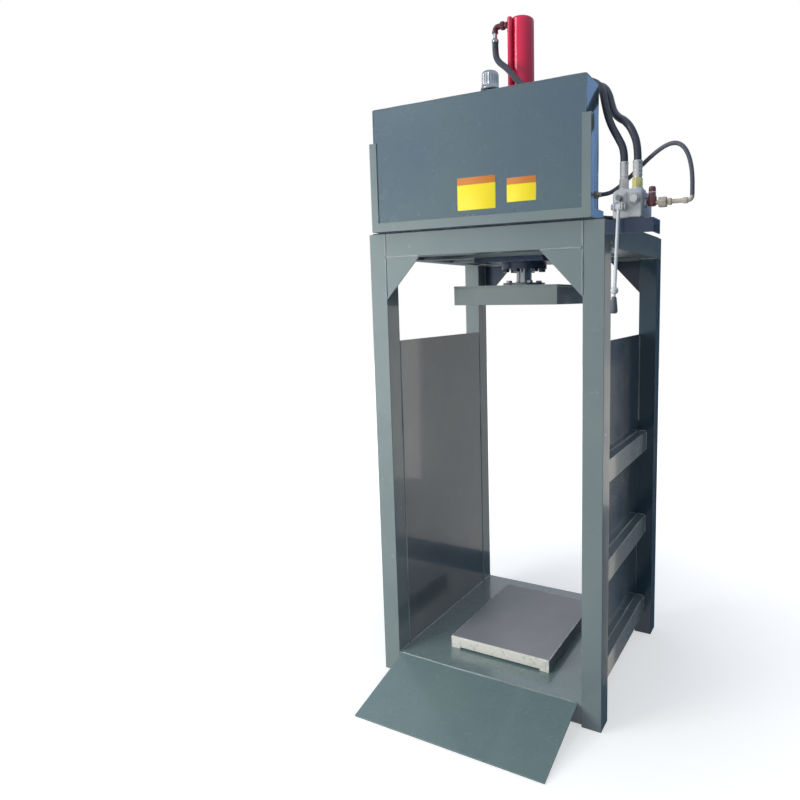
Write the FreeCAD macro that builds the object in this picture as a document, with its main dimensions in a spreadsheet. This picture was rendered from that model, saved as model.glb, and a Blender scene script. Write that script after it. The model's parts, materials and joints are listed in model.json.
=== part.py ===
import FreeCAD, Part
import math
import os
import re

import Sketcher

# Vertical recycling baler: a welded tube frame with a hydraulic ram above a fixed bed.
# Frame: millimetres, +Z up, +X to the operator's right, +Y to the back.
# The origin is on the ground, midway between the four posts, under the ram's axis.

Vector = FreeCAD.Vector
doc = FreeCAD.newDocument("RecyclingBaler")

SIZES = [
    ("frame_width", 760, "over the posts, left to right"),
    ("frame_depth", 650, "over the posts, front to back"),
    ("frame_height", 1440, "ground to the top of the top rails"),
    ("post_size", 60, "side of the square post tube"),
    ("tube_wall", 3, "wall of every steel tube"),
    ("rail_height", 70, "height of the top rails"),
    ("gusset_width", 125, "corner gusset along the rail"),
    ("gusset_drop", 130, "corner gusset down the post"),
    ("gusset_thick", 4, "corner gusset plate"),
    ("panel_thick", 3, "side panel sheet"),
    ("panel_top", 1109, "ground to the top edge of the side panels"),
    ("rib_depth", 30, "side rib, outwards from the panel"),
    ("rib_height", 70, "side rib, up and down"),
    ("rib_pitch", 309, "base rail to lower rib to upper rib"),
    ("base_rail_mid", 112, "ground to the middle of the side base rails"),
    ("floor_top", 72, "ground to the floor plate's top face"),
    ("floor_thick", 4, "floor plate"),
    ("bottom_rail_depth", 30, "front and back rails under the floor"),
    ("bottom_rail_height", 60, "front and back rails under the floor"),
    ("ramp_run", 246, "ramp, front to back on the ground"),
    ("ramp_width", 618, "ramp, left to right"),
    ("ramp_thick", 4, "ramp plate"),
    ("bed_width", 356, "raised pressing bed, left to right"),
    ("bed_depth", 430, "raised pressing bed, front to back"),
    ("bed_thick", 40, "raised pressing bed"),
    ("bed_shift", -10, "middle of the bed, behind the ram's axis"),
    ("bed_slot_width", 290, "slot along the bed's front edge"),
    ("bed_slot_height", 6, "slot along the bed's front edge"),
    ("bed_slot_depth", 12, "slot along the bed's front edge"),
    ("platen_width", 360, "ram plate, left to right"),
    ("platen_depth", 310, "ram plate, front to back"),
    ("platen_height", 61, "ram plate, up and down"),
    ("platen_wall", 6, "ram plate's pan"),
    ("platen_gap", 54, "platen top to the cylinder's flange when up"),
    ("stroke", 645, "ram travel"),
    ("rod_diameter", 50, "ram rod"),
    ("bore_diameter", 65, "cylinder bore"),
    ("barrel_diameter", 76, "cylinder barrel, outside"),
    ("piston_length", 40, "ram piston"),
    ("piston_gap", 5, "piston to the end cap when up"),
    ("gland_length", 40, "gland nose inside the barrel"),
    ("flange_diameter", 150, "cylinder flange"),
    ("flange_thick", 20, "cylinder flange"),
    ("flange_bolt_circle", 120, "cylinder flange bolts"),
    ("flange_bolt_diameter", 14, "cylinder flange bolts"),
    ("flange_bolt_count", 6, "cylinder flange bolts"),
    ("bolt_play", 0.3, "hole radius over bolt radius"),
    ("running_play", 0.05, "radial play of a running fit"),
    ("mount_plate_width", 240, "cylinder mounting plate, left to right"),
    ("mount_plate_depth", 250, "cylinder mounting plate, front to back"),
    ("mount_plate_thick", 16, "cylinder mounting plate"),
    ("beam_width", 50, "cross beams beside the cylinder"),
    ("beam_offset", 95, "ram axis to the middle of each cross beam"),
    ("cap_height", 30, "cylinder end cap above the barrel"),
    ("pipe_diameter", 16, "transfer pipe down the barrel"),
    ("pipe_angle", 240, "transfer pipe's place round the barrel, degrees"),
    ("port_angle", 117, "rear port's place round the barrel, degrees"),
    ("rod_flange_diameter", 140, "flange at the rod's lower end"),
    ("rod_flange_thick", 10, "flange at the rod's lower end"),
    ("rod_bolt_circle", 105, "rod flange bolts"),
    ("rod_bolt_diameter", 12, "rod flange bolts"),
    ("deck_thick", 4, "deck plate over the frame"),
    ("deck_inset", 7, "deck plate's edge behind the rails' faces"),
    ("deck_hole", 130, "deck plate's opening for the cylinder"),
    ("tank_width", 670, "oil tank, left to right"),
    ("tank_depth", 100, "oil tank, front to back"),
    ("tank_height", 353, "oil tank, up and down"),
    ("tank_wall", 3, "oil tank sheet"),
    ("tank_front", -345, "oil tank's front face"),
    ("angle_leg", 25, "cradle angle iron"),
    ("angle_thick", 3, "cradle angle iron"),
    ("cradle_width", 700, "cradle over its uprights"),
    ("cradle_upright", 260, "cradle uprights above the deck"),
    ("neck_diameter", 40, "filler neck"),
    ("neck_height", 14, "filler neck"),
    ("neck_side", 37, "filler neck, right of the middle"),
    ("breather_diameter", 48, "breather cap"),
    ("breather_height", 52, "breather cap"),
    ("motor_radius", 82, "motor housing"),
    ("motor_length", 240, "motor housing"),
    ("motor_left", -300, "motor housing's left end"),
    ("motor_side", 195, "motor axis behind the ram's axis"),
    ("motor_lift", 100, "motor axis above the deck"),
    ("fan_cover_length", 52, "motor fan cover"),
    ("shaft_diameter", 28, "motor shaft"),
    ("bell_length", 76, "bell housing between motor and pump"),
    ("bell_radius", 66, "bell housing"),
    ("pump_width", 72, "gear pump along its axis"),
    ("pump_side", 92, "gear pump front to back"),
    ("pump_height", 120, "gear pump up and down"),
    ("gear_teeth", 10, "pump gears"),
    ("gear_module", 3.6, "pump gears"),
    ("gear_length", 34, "pump gears"),
    ("valve_width", 78, "valve body, left to right"),
    ("valve_depth", 104, "valve body, front to back"),
    ("valve_height", 80, "valve body"),
    ("valve_outset", 57, "valve body's middle, outwards from the post"),
    ("valve_front", -322, "valve body's front face"),
    ("bracket_length", 126, "valve bracket outwards from the post"),
    ("bracket_leg", 36, "valve bracket angle iron"),
    ("bracket_depth", 72, "valve bracket's shelf, front to back"),
    ("bracket_thick", 4, "valve bracket angle iron"),
    ("spool_diameter", 14, "valve spool"),
    ("spool_drop", 30, "valve top to the spool's axis"),
    ("lever_arm", 22, "lever pivot to the spool's axis"),
    ("lever_offset", 16, "lever's plane, left of the valve's middle"),
    ("lever_reach", 20, "lever pivot in front of the valve"),
    ("lever_length", 205, "lever pivot to the nut"),
    ("lever_diameter", 9, "lever rod"),
    ("lever_tilt", 8, "lever's lean towards the operator, degrees"),
    ("pin_diameter", 10, "lever pivot pin"),
    ("hose_diameter", 20, "ram hoses"),
    ("return_diameter", 11, "return hose"),
    ("pressure_diameter", 14, "pump hose"),
    ("suction_diameter", 22, "suction pipe"),
    ("suction_side", 150, "suction pipe, right of the ram's axis"),
    ("suction_lift", 90, "suction pipe above the frame"),
    ("port_spacing", 35, "valve work ports"),
    ("return_reach", 155, "valve's middle to the return line's bend"),
    ("return_riser", 11, "return line's bend up to its hose"),
    ("tank_port_inset", 75, "tank's front to its return port"),
    ("tank_port_lift", 70, "tank's return port above the frame"),
    ("tank_port_length", 19, "return port's bar"),
    ("pump_port_drop", 18, "motor axis down to the pump's outlet"),
    ("pump_port_length", 23, "pump outlet's fitting"),
    ("inlet_lift", 20, "valve's underside to its inlet"),
    ("inlet_length", 14, "valve inlet's fitting"),
    ("nut_height", 24, "swivel nuts under the ram hoses"),
    ("ferrule_length", 43, "crimped ferrules on the ram hoses"),
]

sheet = doc.addObject("Spreadsheet::Sheet", "Sizes")
for row, (name, value, note) in enumerate(SIZES, start=1):
    sheet.set(f"A{row}", name)
    sheet.set(f"B{row}", str(value))
    sheet.setAlias(f"B{row}", name)
    sheet.set(f"C{row}", note)
doc.recompute()

NAMES = re.compile(r"\b(" + "|".join(name for name, _, _ in SIZES) + r")\b")
SIZE = {name: float(sheet.get(name)) for name, _, _ in SIZES}
NODES = []


def bind(thing, prop, formula):
    """Tie a property to a formula written in the sheet's names."""
    thing.setExpression(prop, NAMES.sub(r"Sizes.\1", str(formula)))


def amount(formula):
    """The number a formula stands for, worked out by the sheet in a spare cell."""
    sheet.set("F1", "=" + str(formula))
    sheet.recompute()
    return float(sheet.get("F1"))


def node(thing, label):
    """Mark a finished object as a sub-part with its own name."""
    thing.Label = label
    NODES.append(thing)
    return thing


# ---- building helpers -------------------------------------------------------

TURN = {"x": (Vector(0, 1, 0), 90), "y": (Vector(1, 0, 0), -90), "z": (Vector(0, 0, 1), 0)}


def place(thing, corner):
    """Tie an object's position to three formulas."""
    for axis, formula in zip("xyz", corner):
        bind(thing, "Placement.Base." + axis, formula)
    return thing


def box(name, corner, size):
    """Rectangular block from its lowest corner and its three sizes."""
    block = doc.addObject("Part::Box", name)
    for side, formula in zip(("Length", "Width", "Height"), size):
        bind(block, side, formula)
    return place(block, corner)


def rod(name, radius, length, start, along="z"):
    """Round bar that runs from a start point towards +x, +y or +z."""
    bar = doc.addObject("Part::Cylinder", name)
    axis, angle = TURN[along]
    bar.Placement = FreeCAD.Placement(Vector(0, 0, 0), FreeCAD.Rotation(axis, angle))
    bind(bar, "Radius", radius)
    bind(bar, "Height", length)
    return place(bar, start)


def cone(name, low, high, length, start, along="z"):
    """Round taper that runs from a start point towards +x, +y or +z."""
    taper = doc.addObject("Part::Cone", name)
    axis, angle = TURN[along]
    taper.Placement = FreeCAD.Placement(Vector(0, 0, 0), FreeCAD.Rotation(axis, angle))
    bind(taper, "Radius1", low)
    bind(taper, "Radius2", high)
    bind(taper, "Height", length)
    return place(taper, start)


def ball(name, radius, centre):
    """Full sphere about a centre point."""
    sphere = doc.addObject("Part::Sphere", name)
    bind(sphere, "Radius", radius)
    return place(sphere, centre)


def hexagon(name, flats, length, start, along="z"):
    """Hexagonal bar, flats wide, that runs from a start point."""
    prism = doc.addObject("Part::Prism", name)
    axis, angle = TURN[along]
    prism.Placement = FreeCAD.Placement(Vector(0, 0, 0), FreeCAD.Rotation(axis, angle))
    prism.Polygon = 6
    bind(prism, "Circumradius", f"({flats}) / 1.7320508")
    bind(prism, "Height", length)
    return place(prism, start)


def cut(name, base, *tools):
    """One object with one or more tools taken out of it."""
    tool = tools[0] if len(tools) == 1 else fuse(name + "_tools", *tools)
    result = doc.addObject("Part::Cut", name)
    result.Base = base
    result.Tool = tool
    return result


def fuse(name, *pieces):
    """Several shapes welded into one solid."""
    result = doc.addObject("Part::MultiFuse", name)
    result.Shapes = list(pieces)
    return result


def group(name, *pieces):
    """Several separate solids that share one node."""
    result = doc.addObject("Part::Compound", name)
    result.Links = list(pieces)
    return result


def sketch_on(body, role, points):
    """Closed polygon on one of a body's origin planes, each corner tied to two formulas."""
    sketch = body.newObject("Sketcher::SketchObject", body.Name + "_sketch")
    plane = next(item for item in body.Origin.OriginFeatures if item.Role == role)
    sketch.AttachmentSupport = [(plane, "")]
    sketch.MapMode = "FlatFace"
    corners = [(amount(a), amount(b)) for a, b in points]
    for first, second in zip(corners, corners[1:] + corners[:1]):
        line = Part.LineSegment(Vector(*first, 0), Vector(*second, 0))
        sketch.addGeometry(line, False)
    last = len(points)
    for index in range(last):
        sketch.addConstraint(Sketcher.Constraint("Coincident", index, 2, (index + 1) % last, 1))
    for index, (across, up) in enumerate(points):
        for kind, formula, value in zip(("DistanceX", "DistanceY"), (across, up), corners[index]):
            number = sketch.addConstraint(Sketcher.Constraint(kind, -1, 1, index, 1, value))
            bind(sketch, f"Constraints[{number}]", formula)
    return sketch


def plate_facing_front(name, points, thick, back):
    """Plate cut to an outline in X and Z; its back face lies at the given Y."""
    body = doc.addObject("PartDesign::Body", name)
    pad = body.newObject("PartDesign::Pad", name + "_pad")
    pad.Profile = sketch_on(body, "XZ_Plane", points)
    bind(pad, "Length", thick)
    return place(body, (0, back, 0))


def plate_facing_side(name, points, thick, left):
    """Plate cut to an outline in Y and Z; its left face lies at the given X."""
    body = doc.addObject("PartDesign::Body", name)
    pad = body.newObject("PartDesign::Pad", name + "_pad")
    pad.Profile = sketch_on(body, "YZ_Plane", points)
    bind(pad, "Length", thick)
    return place(body, (left, 0, 0))


def turned(name, points, centre):
    """Turned part: an outline of radius and height, spun about the upright axis."""
    body = doc.addObject("PartDesign::Body", name)
    spin = body.newObject("PartDesign::Revolution", name + "_turn")
    outline = sketch_on(body, "XZ_Plane", points)
    spin.Profile = outline
    spin.ReferenceAxis = (outline, ["V_Axis"])
    spin.Angle = 360
    return place(body, centre)


def tube(name, corner, size, along):
    """Straight length of rectangular steel tube, open at both ends."""
    inner_corner = []
    inner_size = []
    for axis, low, span in zip("xyz", corner, size):
        wall = "0" if axis == along else "tube_wall"
        inner_corner.append(f"{low} + {wall}")
        inner_size.append(f"{span} - 2 * {wall}")
    outside = box(name + "_outside", corner, size)
    inside = box(name + "_inside", inner_corner, inner_size)
    return cut(name, outside, inside)


def ring_of(name, count, circle, maker):
    """Pieces set evenly round the ram's axis; maker takes a name, an x and a y formula."""
    pieces = []
    for index in range(int(count)):
        angle = 360 * (index + 0.5) / int(count)
        pieces.append(maker(f"{name}_{index + 1}",
                            f"{circle} / 2 * cos({angle})",
                            f"{circle} / 2 * sin({angle})"))
    return pieces


# ---- heights and places that several pieces share ---------------------------

HALF_X = "frame_width / 2"
HALF_Y = "frame_depth / 2"
IN_X = "(frame_width / 2 - post_size)"
IN_Y = "(frame_depth / 2 - post_size)"
RAIL_Z = "(frame_height - rail_height)"
FLOOR_Z = "(floor_top - floor_thick)"
PLATE_Z = f"({RAIL_Z} - mount_plate_thick)"
FLANGE_Z = f"({PLATE_Z} - flange_thick)"
PLATEN_TOP = f"({FLANGE_Z} - platen_gap)"
PLATEN_Z = f"({PLATEN_TOP} - platen_height)"
ROD_FLANGE_TOP = f"({PLATEN_TOP} + rod_flange_thick)"
BARREL_TOP = f"({PLATE_Z} + gland_length + piston_gap + stroke + piston_length + piston_gap)"
CAP_TOP = f"({BARREL_TOP} + cap_height)"
DECK_Z = "(frame_height + deck_thick)"
TANK_Z = f"({DECK_Z} + angle_thick)"
TANK_TOP = f"({TANK_Z} + tank_height)"
TANK_BACK = "(tank_front + tank_depth)"


# ---- welded frame -----------------------------------------------------------

def build_frame():
    """Four posts, top rails, rails under the floor, side panels with their ribs."""
    for side, left in (("left", f"-{HALF_X}"), ("right", IN_X)):
        front = tube(f"post_front_{side}_tube", (left, f"-{HALF_Y}", "0"),
                     ("post_size", "post_size", "frame_height"), "z")
        back = tube(f"post_back_{side}_tube", (left, IN_Y, "0"),
                    ("post_size", "post_size", RAIL_Z), "z")
        rail = tube(f"top_rail_{side}_tube", (left, f"-{IN_Y}", RAIL_Z),
                    ("post_size", "frame_depth - post_size", "rail_height"), "y")
        node(front, f"post_front_{side}")
        node(back, f"post_back_{side}")
        node(rail, f"top_rail_{side}")
    for side, low in (("front", f"-{HALF_Y}"), ("back", IN_Y)):
        rail = tube(f"top_rail_{side}_tube", (f"-{IN_X}", low, RAIL_Z),
                    (f"2 * {IN_X}", "post_size", "rail_height"), "x")
        node(rail, f"top_rail_{side}")
    for side, low in (("front", f"-{HALF_Y}"), ("back", f"{HALF_Y} - bottom_rail_depth")):
        rail = tube(f"bottom_rail_{side}_tube",
                    (f"-{IN_X}", low, f"{FLOOR_Z} - bottom_rail_height"),
                    (f"2 * {IN_X}", "bottom_rail_depth", "bottom_rail_height"), "x")
        node(rail, f"bottom_rail_{side}")


def build_caps():
    """Plates let into the open tops of the front posts and the back ends of the side rails."""
    inside = "post_size - 2 * tube_wall"
    caps = []
    for side, left in (("left", f"-{HALF_X} + tube_wall"), ("right", f"{IN_X} + tube_wall")):
        caps.append(box(f"post_cap_{side}",
                        (left, f"-{HALF_Y} + tube_wall", "frame_height - tube_wall"),
                        (inside, inside, "tube_wall")))
        caps.append(box(f"rail_cap_{side}",
                        (left, f"{HALF_Y} - tube_wall", f"{RAIL_Z} + tube_wall"),
                        (inside, "tube_wall", "rail_height - 2 * tube_wall")))
    node(group("caps", *caps), "tube_caps")


def build_gussets():
    """Triangular plates in the four upper corners, flush with the frame's outer faces."""
    for end, back in (("front", f"-{HALF_Y} + gusset_thick"), ("back", HALF_Y)):
        pair = []
        for side, sign in (("left", "-"), ("right", "")):
            corner = (f"{sign}{IN_X}", RAIL_Z)
            along = (f"{sign}({IN_X} - gusset_width)", RAIL_Z)
            down = (f"{sign}{IN_X}", f"{RAIL_Z} - gusset_drop")
            pair.append(plate_facing_front(f"gusset_{end}_{side}", [corner, along, down],
                                           "gusset_thick", back))
        node(group(f"gussets_{end}_pair", *pair), f"gussets_{end}")


def build_sides():
    """Sheet panels between the posts, each with two ribs and a base rail outside."""
    for side in ("left", "right"):
        right = side == "right"
        sheet_x = IN_X if right else f"-({IN_X} + panel_thick)"
        rib_x = f"{IN_X} + panel_thick" if right else f"-({IN_X} + panel_thick + rib_depth)"
        panel = box(f"panel_{side}", (sheet_x, f"-{IN_Y}", FLOOR_Z),
                    ("panel_thick", f"2 * {IN_Y}", f"panel_top - {FLOOR_Z}"))
        node(panel, f"side_panel_{side}")
        ribs = []
        for level in range(3):
            low = f"base_rail_mid + {level} * rib_pitch - rib_height / 2"
            ribs.append(tube(f"rib_{side}_{level}", (rib_x, f"-{IN_Y}", low),
                             ("rib_depth", f"2 * {IN_Y}", "rib_height"), "y"))
        node(group(f"ribs_{side}", *ribs), f"side_ribs_{side}")


def build_floor():
    """Floor plate, loading ramp and the raised bed that the bale is pressed on."""
    floor = box("floor", (f"-{IN_X}", f"-{HALF_Y}", FLOOR_Z),
                (f"2 * {IN_X}", "frame_depth", "floor_thick"))
    node(floor, "floor_plate")
    outline = [(f"-{HALF_Y}", "floor_top"), (f"-{HALF_Y} - ramp_run", "ramp_thick"),
               (f"-{HALF_Y} - ramp_run", "0"), (f"-{HALF_Y}", "floor_top - ramp_thick")]
    ramp = plate_facing_side("ramp_plate", outline, "ramp_width", "-ramp_width / 2")
    node(ramp, "loading_ramp")
    bed_front = "(bed_shift - bed_depth / 2)"
    block = box("bed_block", ("-bed_width / 2", bed_front, "floor_top"),
                ("bed_width", "bed_depth", "bed_thick"))
    slot = box("bed_slot", ("-bed_slot_width / 2", f"{bed_front} - 1", "floor_top"),
               ("bed_slot_width", "bed_slot_depth + 1", "bed_slot_height"))
    node(cut("bed", block, slot), "pressing_bed")


# ---- cylinder and ram -------------------------------------------------------

def build_cylinder_seat():
    """Two cross beams and the plate under them that the cylinder's flange bolts to."""
    barrel_hole = rod("mount_hole", "barrel_diameter / 2 + bolt_play", "mount_plate_thick + 2",
                      ("0", "0", f"{PLATE_Z} - 1"))
    for side, sign in (("front", "-"), ("back", "")):
        beam = tube(f"beam_{side}",
                    (f"-{IN_X}", f"{sign}beam_offset - beam_width / 2", RAIL_Z),
                    (f"2 * {IN_X}", "beam_width", "rail_height"), "x")
        node(beam, f"cylinder_beam_{side}")
    plate = box("mount_blank", ("-mount_plate_width / 2", "-mount_plate_depth / 2", PLATE_Z),
                ("mount_plate_width", "mount_plate_depth", "mount_plate_thick"))
    holes = ring_of("mount_bolt_hole", SIZE["flange_bolt_count"], "flange_bolt_circle",
                    lambda name, x, y: rod(name, "flange_bolt_diameter / 2 + bolt_play",
                                           "mount_plate_thick + 2", (x, y, f"{PLATE_Z} - 1")))
    node(cut("mount", plate, barrel_hole, *holes), "cylinder_mount_plate")


def build_cylinder():
    """Barrel, end cap, gland flange with its bolts, and the transfer pipe."""
    outside = rod("barrel_outside", "barrel_diameter / 2", f"{BARREL_TOP} - {PLATE_Z}",
                  ("0", "0", PLATE_Z))
    bore = rod("barrel_bore", "bore_diameter / 2", f"{BARREL_TOP} - {PLATE_Z} + 2",
               ("0", "0", f"{PLATE_Z} - 1"))
    node(cut("barrel", outside, bore), "cylinder_barrel")

    crown = "(barrel_diameter / 2)"
    cap = turned("cap", [("0", f"{BARREL_TOP} - piston_gap / 2"),
                         ("bore_diameter / 2", f"{BARREL_TOP} - piston_gap / 2"),
                         ("bore_diameter / 2", BARREL_TOP), (crown, BARREL_TOP),
                         (crown, f"{CAP_TOP} - 7"), (f"{crown} - 4", f"{CAP_TOP} - 2"),
                         ("0", CAP_TOP)], ("0", "0", "0"))
    node(cap, "cylinder_end_cap")

    nose = "(bore_diameter / 2 - running_play)"
    slide = "(rod_diameter / 2 + running_play)"
    blank = turned("gland_blank", [(slide, FLANGE_Z), ("flange_diameter / 2", FLANGE_Z),
                                   ("flange_diameter / 2", PLATE_Z), (nose, PLATE_Z),
                                   (nose, f"{PLATE_Z} + gland_length"),
                                   (slide, f"{PLATE_Z} + gland_length")], ("0", "0", "0"))
    holes = ring_of("gland_hole", SIZE["flange_bolt_count"], "flange_bolt_circle",
                    lambda name, x, y: rod(name, "flange_bolt_diameter / 2 + bolt_play",
                                           "flange_thick + 2", (x, y, f"{FLANGE_Z} - 1")))
    node(cut("gland", blank, *holes), "cylinder_gland")

    head = "(flange_bolt_diameter * 0.62)"
    reach = f"(flange_thick + mount_plate_thick + {head})"

    def bolt(name, x, y):
        low = f"{FLANGE_Z} - {head}"
        return fuse(name, hexagon(name + "_head", "flange_bolt_diameter * 1.5", head, (x, y, low)),
                    rod(name + "_shank", "flange_bolt_diameter / 2", reach, (x, y, low)))

    bolts = ring_of("gland_bolt", SIZE["flange_bolt_count"], "flange_bolt_circle", bolt)
    node(group("gland_bolt_ring", *bolts), "gland_bolts")


def polar(radius, angle):
    """x and y formulas of a point at a radius and angle round the ram's axis."""
    return f"({radius}) * cos({angle})", f"({radius}) * sin({angle})"


PIPE_OUT = "(barrel_diameter / 2 + pipe_diameter / 2 + 1)"
PIPE_X, PIPE_Y = polar(PIPE_OUT, "pipe_angle")
BLOCK_RADIUS = "(pipe_diameter / 2 + 0.7)"
PORT_OUT = "(barrel_diameter / 2 + hose_diameter / 2 + 9)"
PORT_X, PORT_Y = polar(PORT_OUT, "port_angle")
PORT_Z = f"({CAP_TOP} - 26)"
PIPE_LOW = f"({PLATE_Z} + gland_length + 30)"


def stub(name, radius, length, start, angle):
    """Round bar that points outwards from the ram's axis at an angle round it."""
    bar = rod(name, radius, length, start, "x")
    outwards = FreeCAD.Rotation(Vector(0, 0, 1), amount(angle))
    bar.Placement.Rotation = outwards.multiply(bar.Placement.Rotation)
    return bar


def build_transfer_pipe():
    """Thin pipe that brings the rod-end port up beside the barrel to a block at the top."""
    near = "barrel_diameter / 2 + 0.3"
    foot_x, foot_y = polar(near, "pipe_angle")
    upright = rod("pipe_upright", "pipe_diameter / 2", f"{PORT_Z} - {PIPE_LOW}",
                  (PIPE_X, PIPE_Y, PIPE_LOW))
    block = rod("pipe_block", BLOCK_RADIUS, "cap_height + 14",
                (PIPE_X, PIPE_Y, f"{CAP_TOP} - cap_height - 18"))
    foot = stub("pipe_foot", "pipe_diameter / 2 - 1", f"{PIPE_OUT} - ({near})",
                (foot_x, foot_y, f"{PIPE_LOW} + pipe_diameter / 2"), "pipe_angle")
    node(fuse("pipe", upright, block, foot), "transfer_pipe")


def build_ram():
    """Rod, piston, rod flange and the boxed platen that comes down on the waste."""
    piston_low = f"({PLATE_Z} + gland_length + piston_gap + stroke)"
    bar = rod("rod_bar", "rod_diameter / 2", f"{piston_low} - {ROD_FLANGE_TOP}",
              ("0", "0", ROD_FLANGE_TOP))
    neck = rod("rod_neck", "rod_diameter / 2 - 8", "piston_length", ("0", "0", piston_low))
    node(fuse("ram_bar", bar, neck), "ram_rod")

    face = "(bore_diameter / 2 - running_play)"
    groove = f"({face} - 3)"
    third = "piston_length / 3"
    eye = "(rod_diameter / 2 - 8)"
    piston = turned("piston", [(eye, piston_low), (face, piston_low),
                               (face, f"{piston_low} + {third} - 3"),
                               (groove, f"{piston_low} + {third} - 3"),
                               (groove, f"{piston_low} + {third} + 3"),
                               (face, f"{piston_low} + {third} + 3"),
                               (face, f"{piston_low} + piston_length"),
                               (eye, f"{piston_low} + piston_length")], ("0", "0", "0"))
    node(piston, "ram_piston")

    blank = box("pan_blank", ("-platen_width / 2", "-platen_depth / 2", PLATEN_Z),
                ("platen_width", "platen_depth", "platen_height - platen_wall"))
    hollow = box("pan_hollow", ("-platen_width / 2 + platen_wall",
                                "-platen_depth / 2 + platen_wall",
                                f"{PLATEN_Z} + platen_wall"),
                 ("platen_width - 2 * platen_wall", "platen_depth - 2 * platen_wall",
                  "platen_height"))
    rib_x = box("pan_rib_across", ("-platen_width / 2", "-platen_wall / 2", PLATEN_Z),
                ("platen_width", "platen_wall", "platen_height - platen_wall"))
    rib_y = box("pan_rib_along", ("-platen_wall / 2", "-platen_depth / 2", PLATEN_Z),
                ("platen_wall", "platen_depth", "platen_height - platen_wall"))
    node(fuse("pan", cut("pan_shell", blank, hollow), rib_x, rib_y), "platen_pan")

    hole = "rod_bolt_diameter / 2 + bolt_play"
    lid_z = f"({PLATEN_TOP} - platen_wall)"
    lid = box("lid_blank", ("-platen_width / 2", "-platen_depth / 2", lid_z),
              ("platen_width", "platen_depth", "platen_wall"))
    lid_holes = ring_of("lid_hole", 4, "rod_bolt_circle",
                        lambda name, x, y: rod(name, hole, "platen_wall + 2",
                                               (x, y, f"{lid_z} - 1")))
    node(cut("lid", lid, *lid_holes), "platen_lid")
    disc = rod("rod_disc", "rod_flange_diameter / 2", "rod_flange_thick", ("0", "0", PLATEN_TOP))
    disc_holes = ring_of("disc_hole", 4, "rod_bolt_circle",
                         lambda name, x, y: rod(name, hole, "rod_flange_thick + 2",
                                                (x, y, f"{PLATEN_TOP} - 1")))
    node(cut("rod_plate", disc, *disc_holes), "rod_flange")

    head = "(rod_bolt_diameter * 0.62)"
    reach = "(rod_flange_thick + platen_wall + 14)"

    def bolt(name, x, y):
        return fuse(name,
                    hexagon(name + "_head", "rod_bolt_diameter * 1.5", head,
                            (x, y, ROD_FLANGE_TOP)),
                    rod(name + "_shank", "rod_bolt_diameter / 2", reach,
                        (x, y, f"{ROD_FLANGE_TOP} - {reach}")),
                    hexagon(name + "_nut", "rod_bolt_diameter * 1.5", head,
                            (x, y, f"{lid_z} - {head}")))

    node(group("rod_bolt_ring", *ring_of("rod_bolt", 4, "rod_bolt_circle", bolt)),
         "rod_flange_bolts")


# ---- oil tank and its cradle ------------------------------------------------

def build_deck():
    """Plate over the frame that carries the tank, the motor and the pump."""
    plate = box("deck_blank", (f"-{HALF_X} + deck_inset", f"-{HALF_Y} + deck_inset",
                               "frame_height"),
                ("frame_width - 2 * deck_inset", "frame_depth - 2 * deck_inset", "deck_thick"))
    hole = rod("deck_opening", "deck_hole / 2", "deck_thick + 2", ("0", "0", "frame_height - 1"))
    node(cut("deck", plate, hole), "deck_plate")


def build_cradle():
    """Angle-iron frame round the foot of the tank, with an upright at each front corner."""
    front = "(tank_front - angle_thick)"
    depth = "(tank_depth + 2 * angle_thick)"
    half = "cradle_width / 2"
    shelf = box("cradle_shelf", (f"-{half}", front, DECK_Z), ("cradle_width", depth, "angle_thick"))
    opening = box("cradle_opening",
                  (f"-{half} + angle_leg + 18", "tank_front + angle_leg", f"{DECK_Z} - 1"),
                  ("cradle_width - 2 * angle_leg - 36", "tank_depth - 2 * angle_leg",
                   "angle_thick + 2"))
    lips = [box(f"cradle_lip_{end}", (f"-{half}", low, DECK_Z),
                ("cradle_width", "angle_thick", "angle_leg + 1"))
            for end, low in (("front", front), ("back", TANK_BACK))]
    uprights = []
    for side, outer, inner in (("left", f"-{half}", f"-{half}"),
                               ("right", f"{half} - angle_leg", f"{half} - angle_thick")):
        uprights.append(box(f"cradle_face_{side}", (outer, front, DECK_Z),
                            ("angle_leg", "angle_thick", "cradle_upright")))
        uprights.append(box(f"cradle_side_{side}", (inner, front, DECK_Z),
                            ("angle_thick", "angle_leg", "cradle_upright")))
        uprights.append(box(f"cradle_end_{side}", (inner, front, DECK_Z),
                            ("angle_thick", depth, "angle_leg + 1")))
    node(fuse("cradle", cut("cradle_base", shelf, opening), *lips, *uprights), "tank_cradle")


NECK_Y = "(tank_front + tank_depth / 2)"
NECK_TOP = f"({TANK_TOP} + neck_height)"


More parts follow.
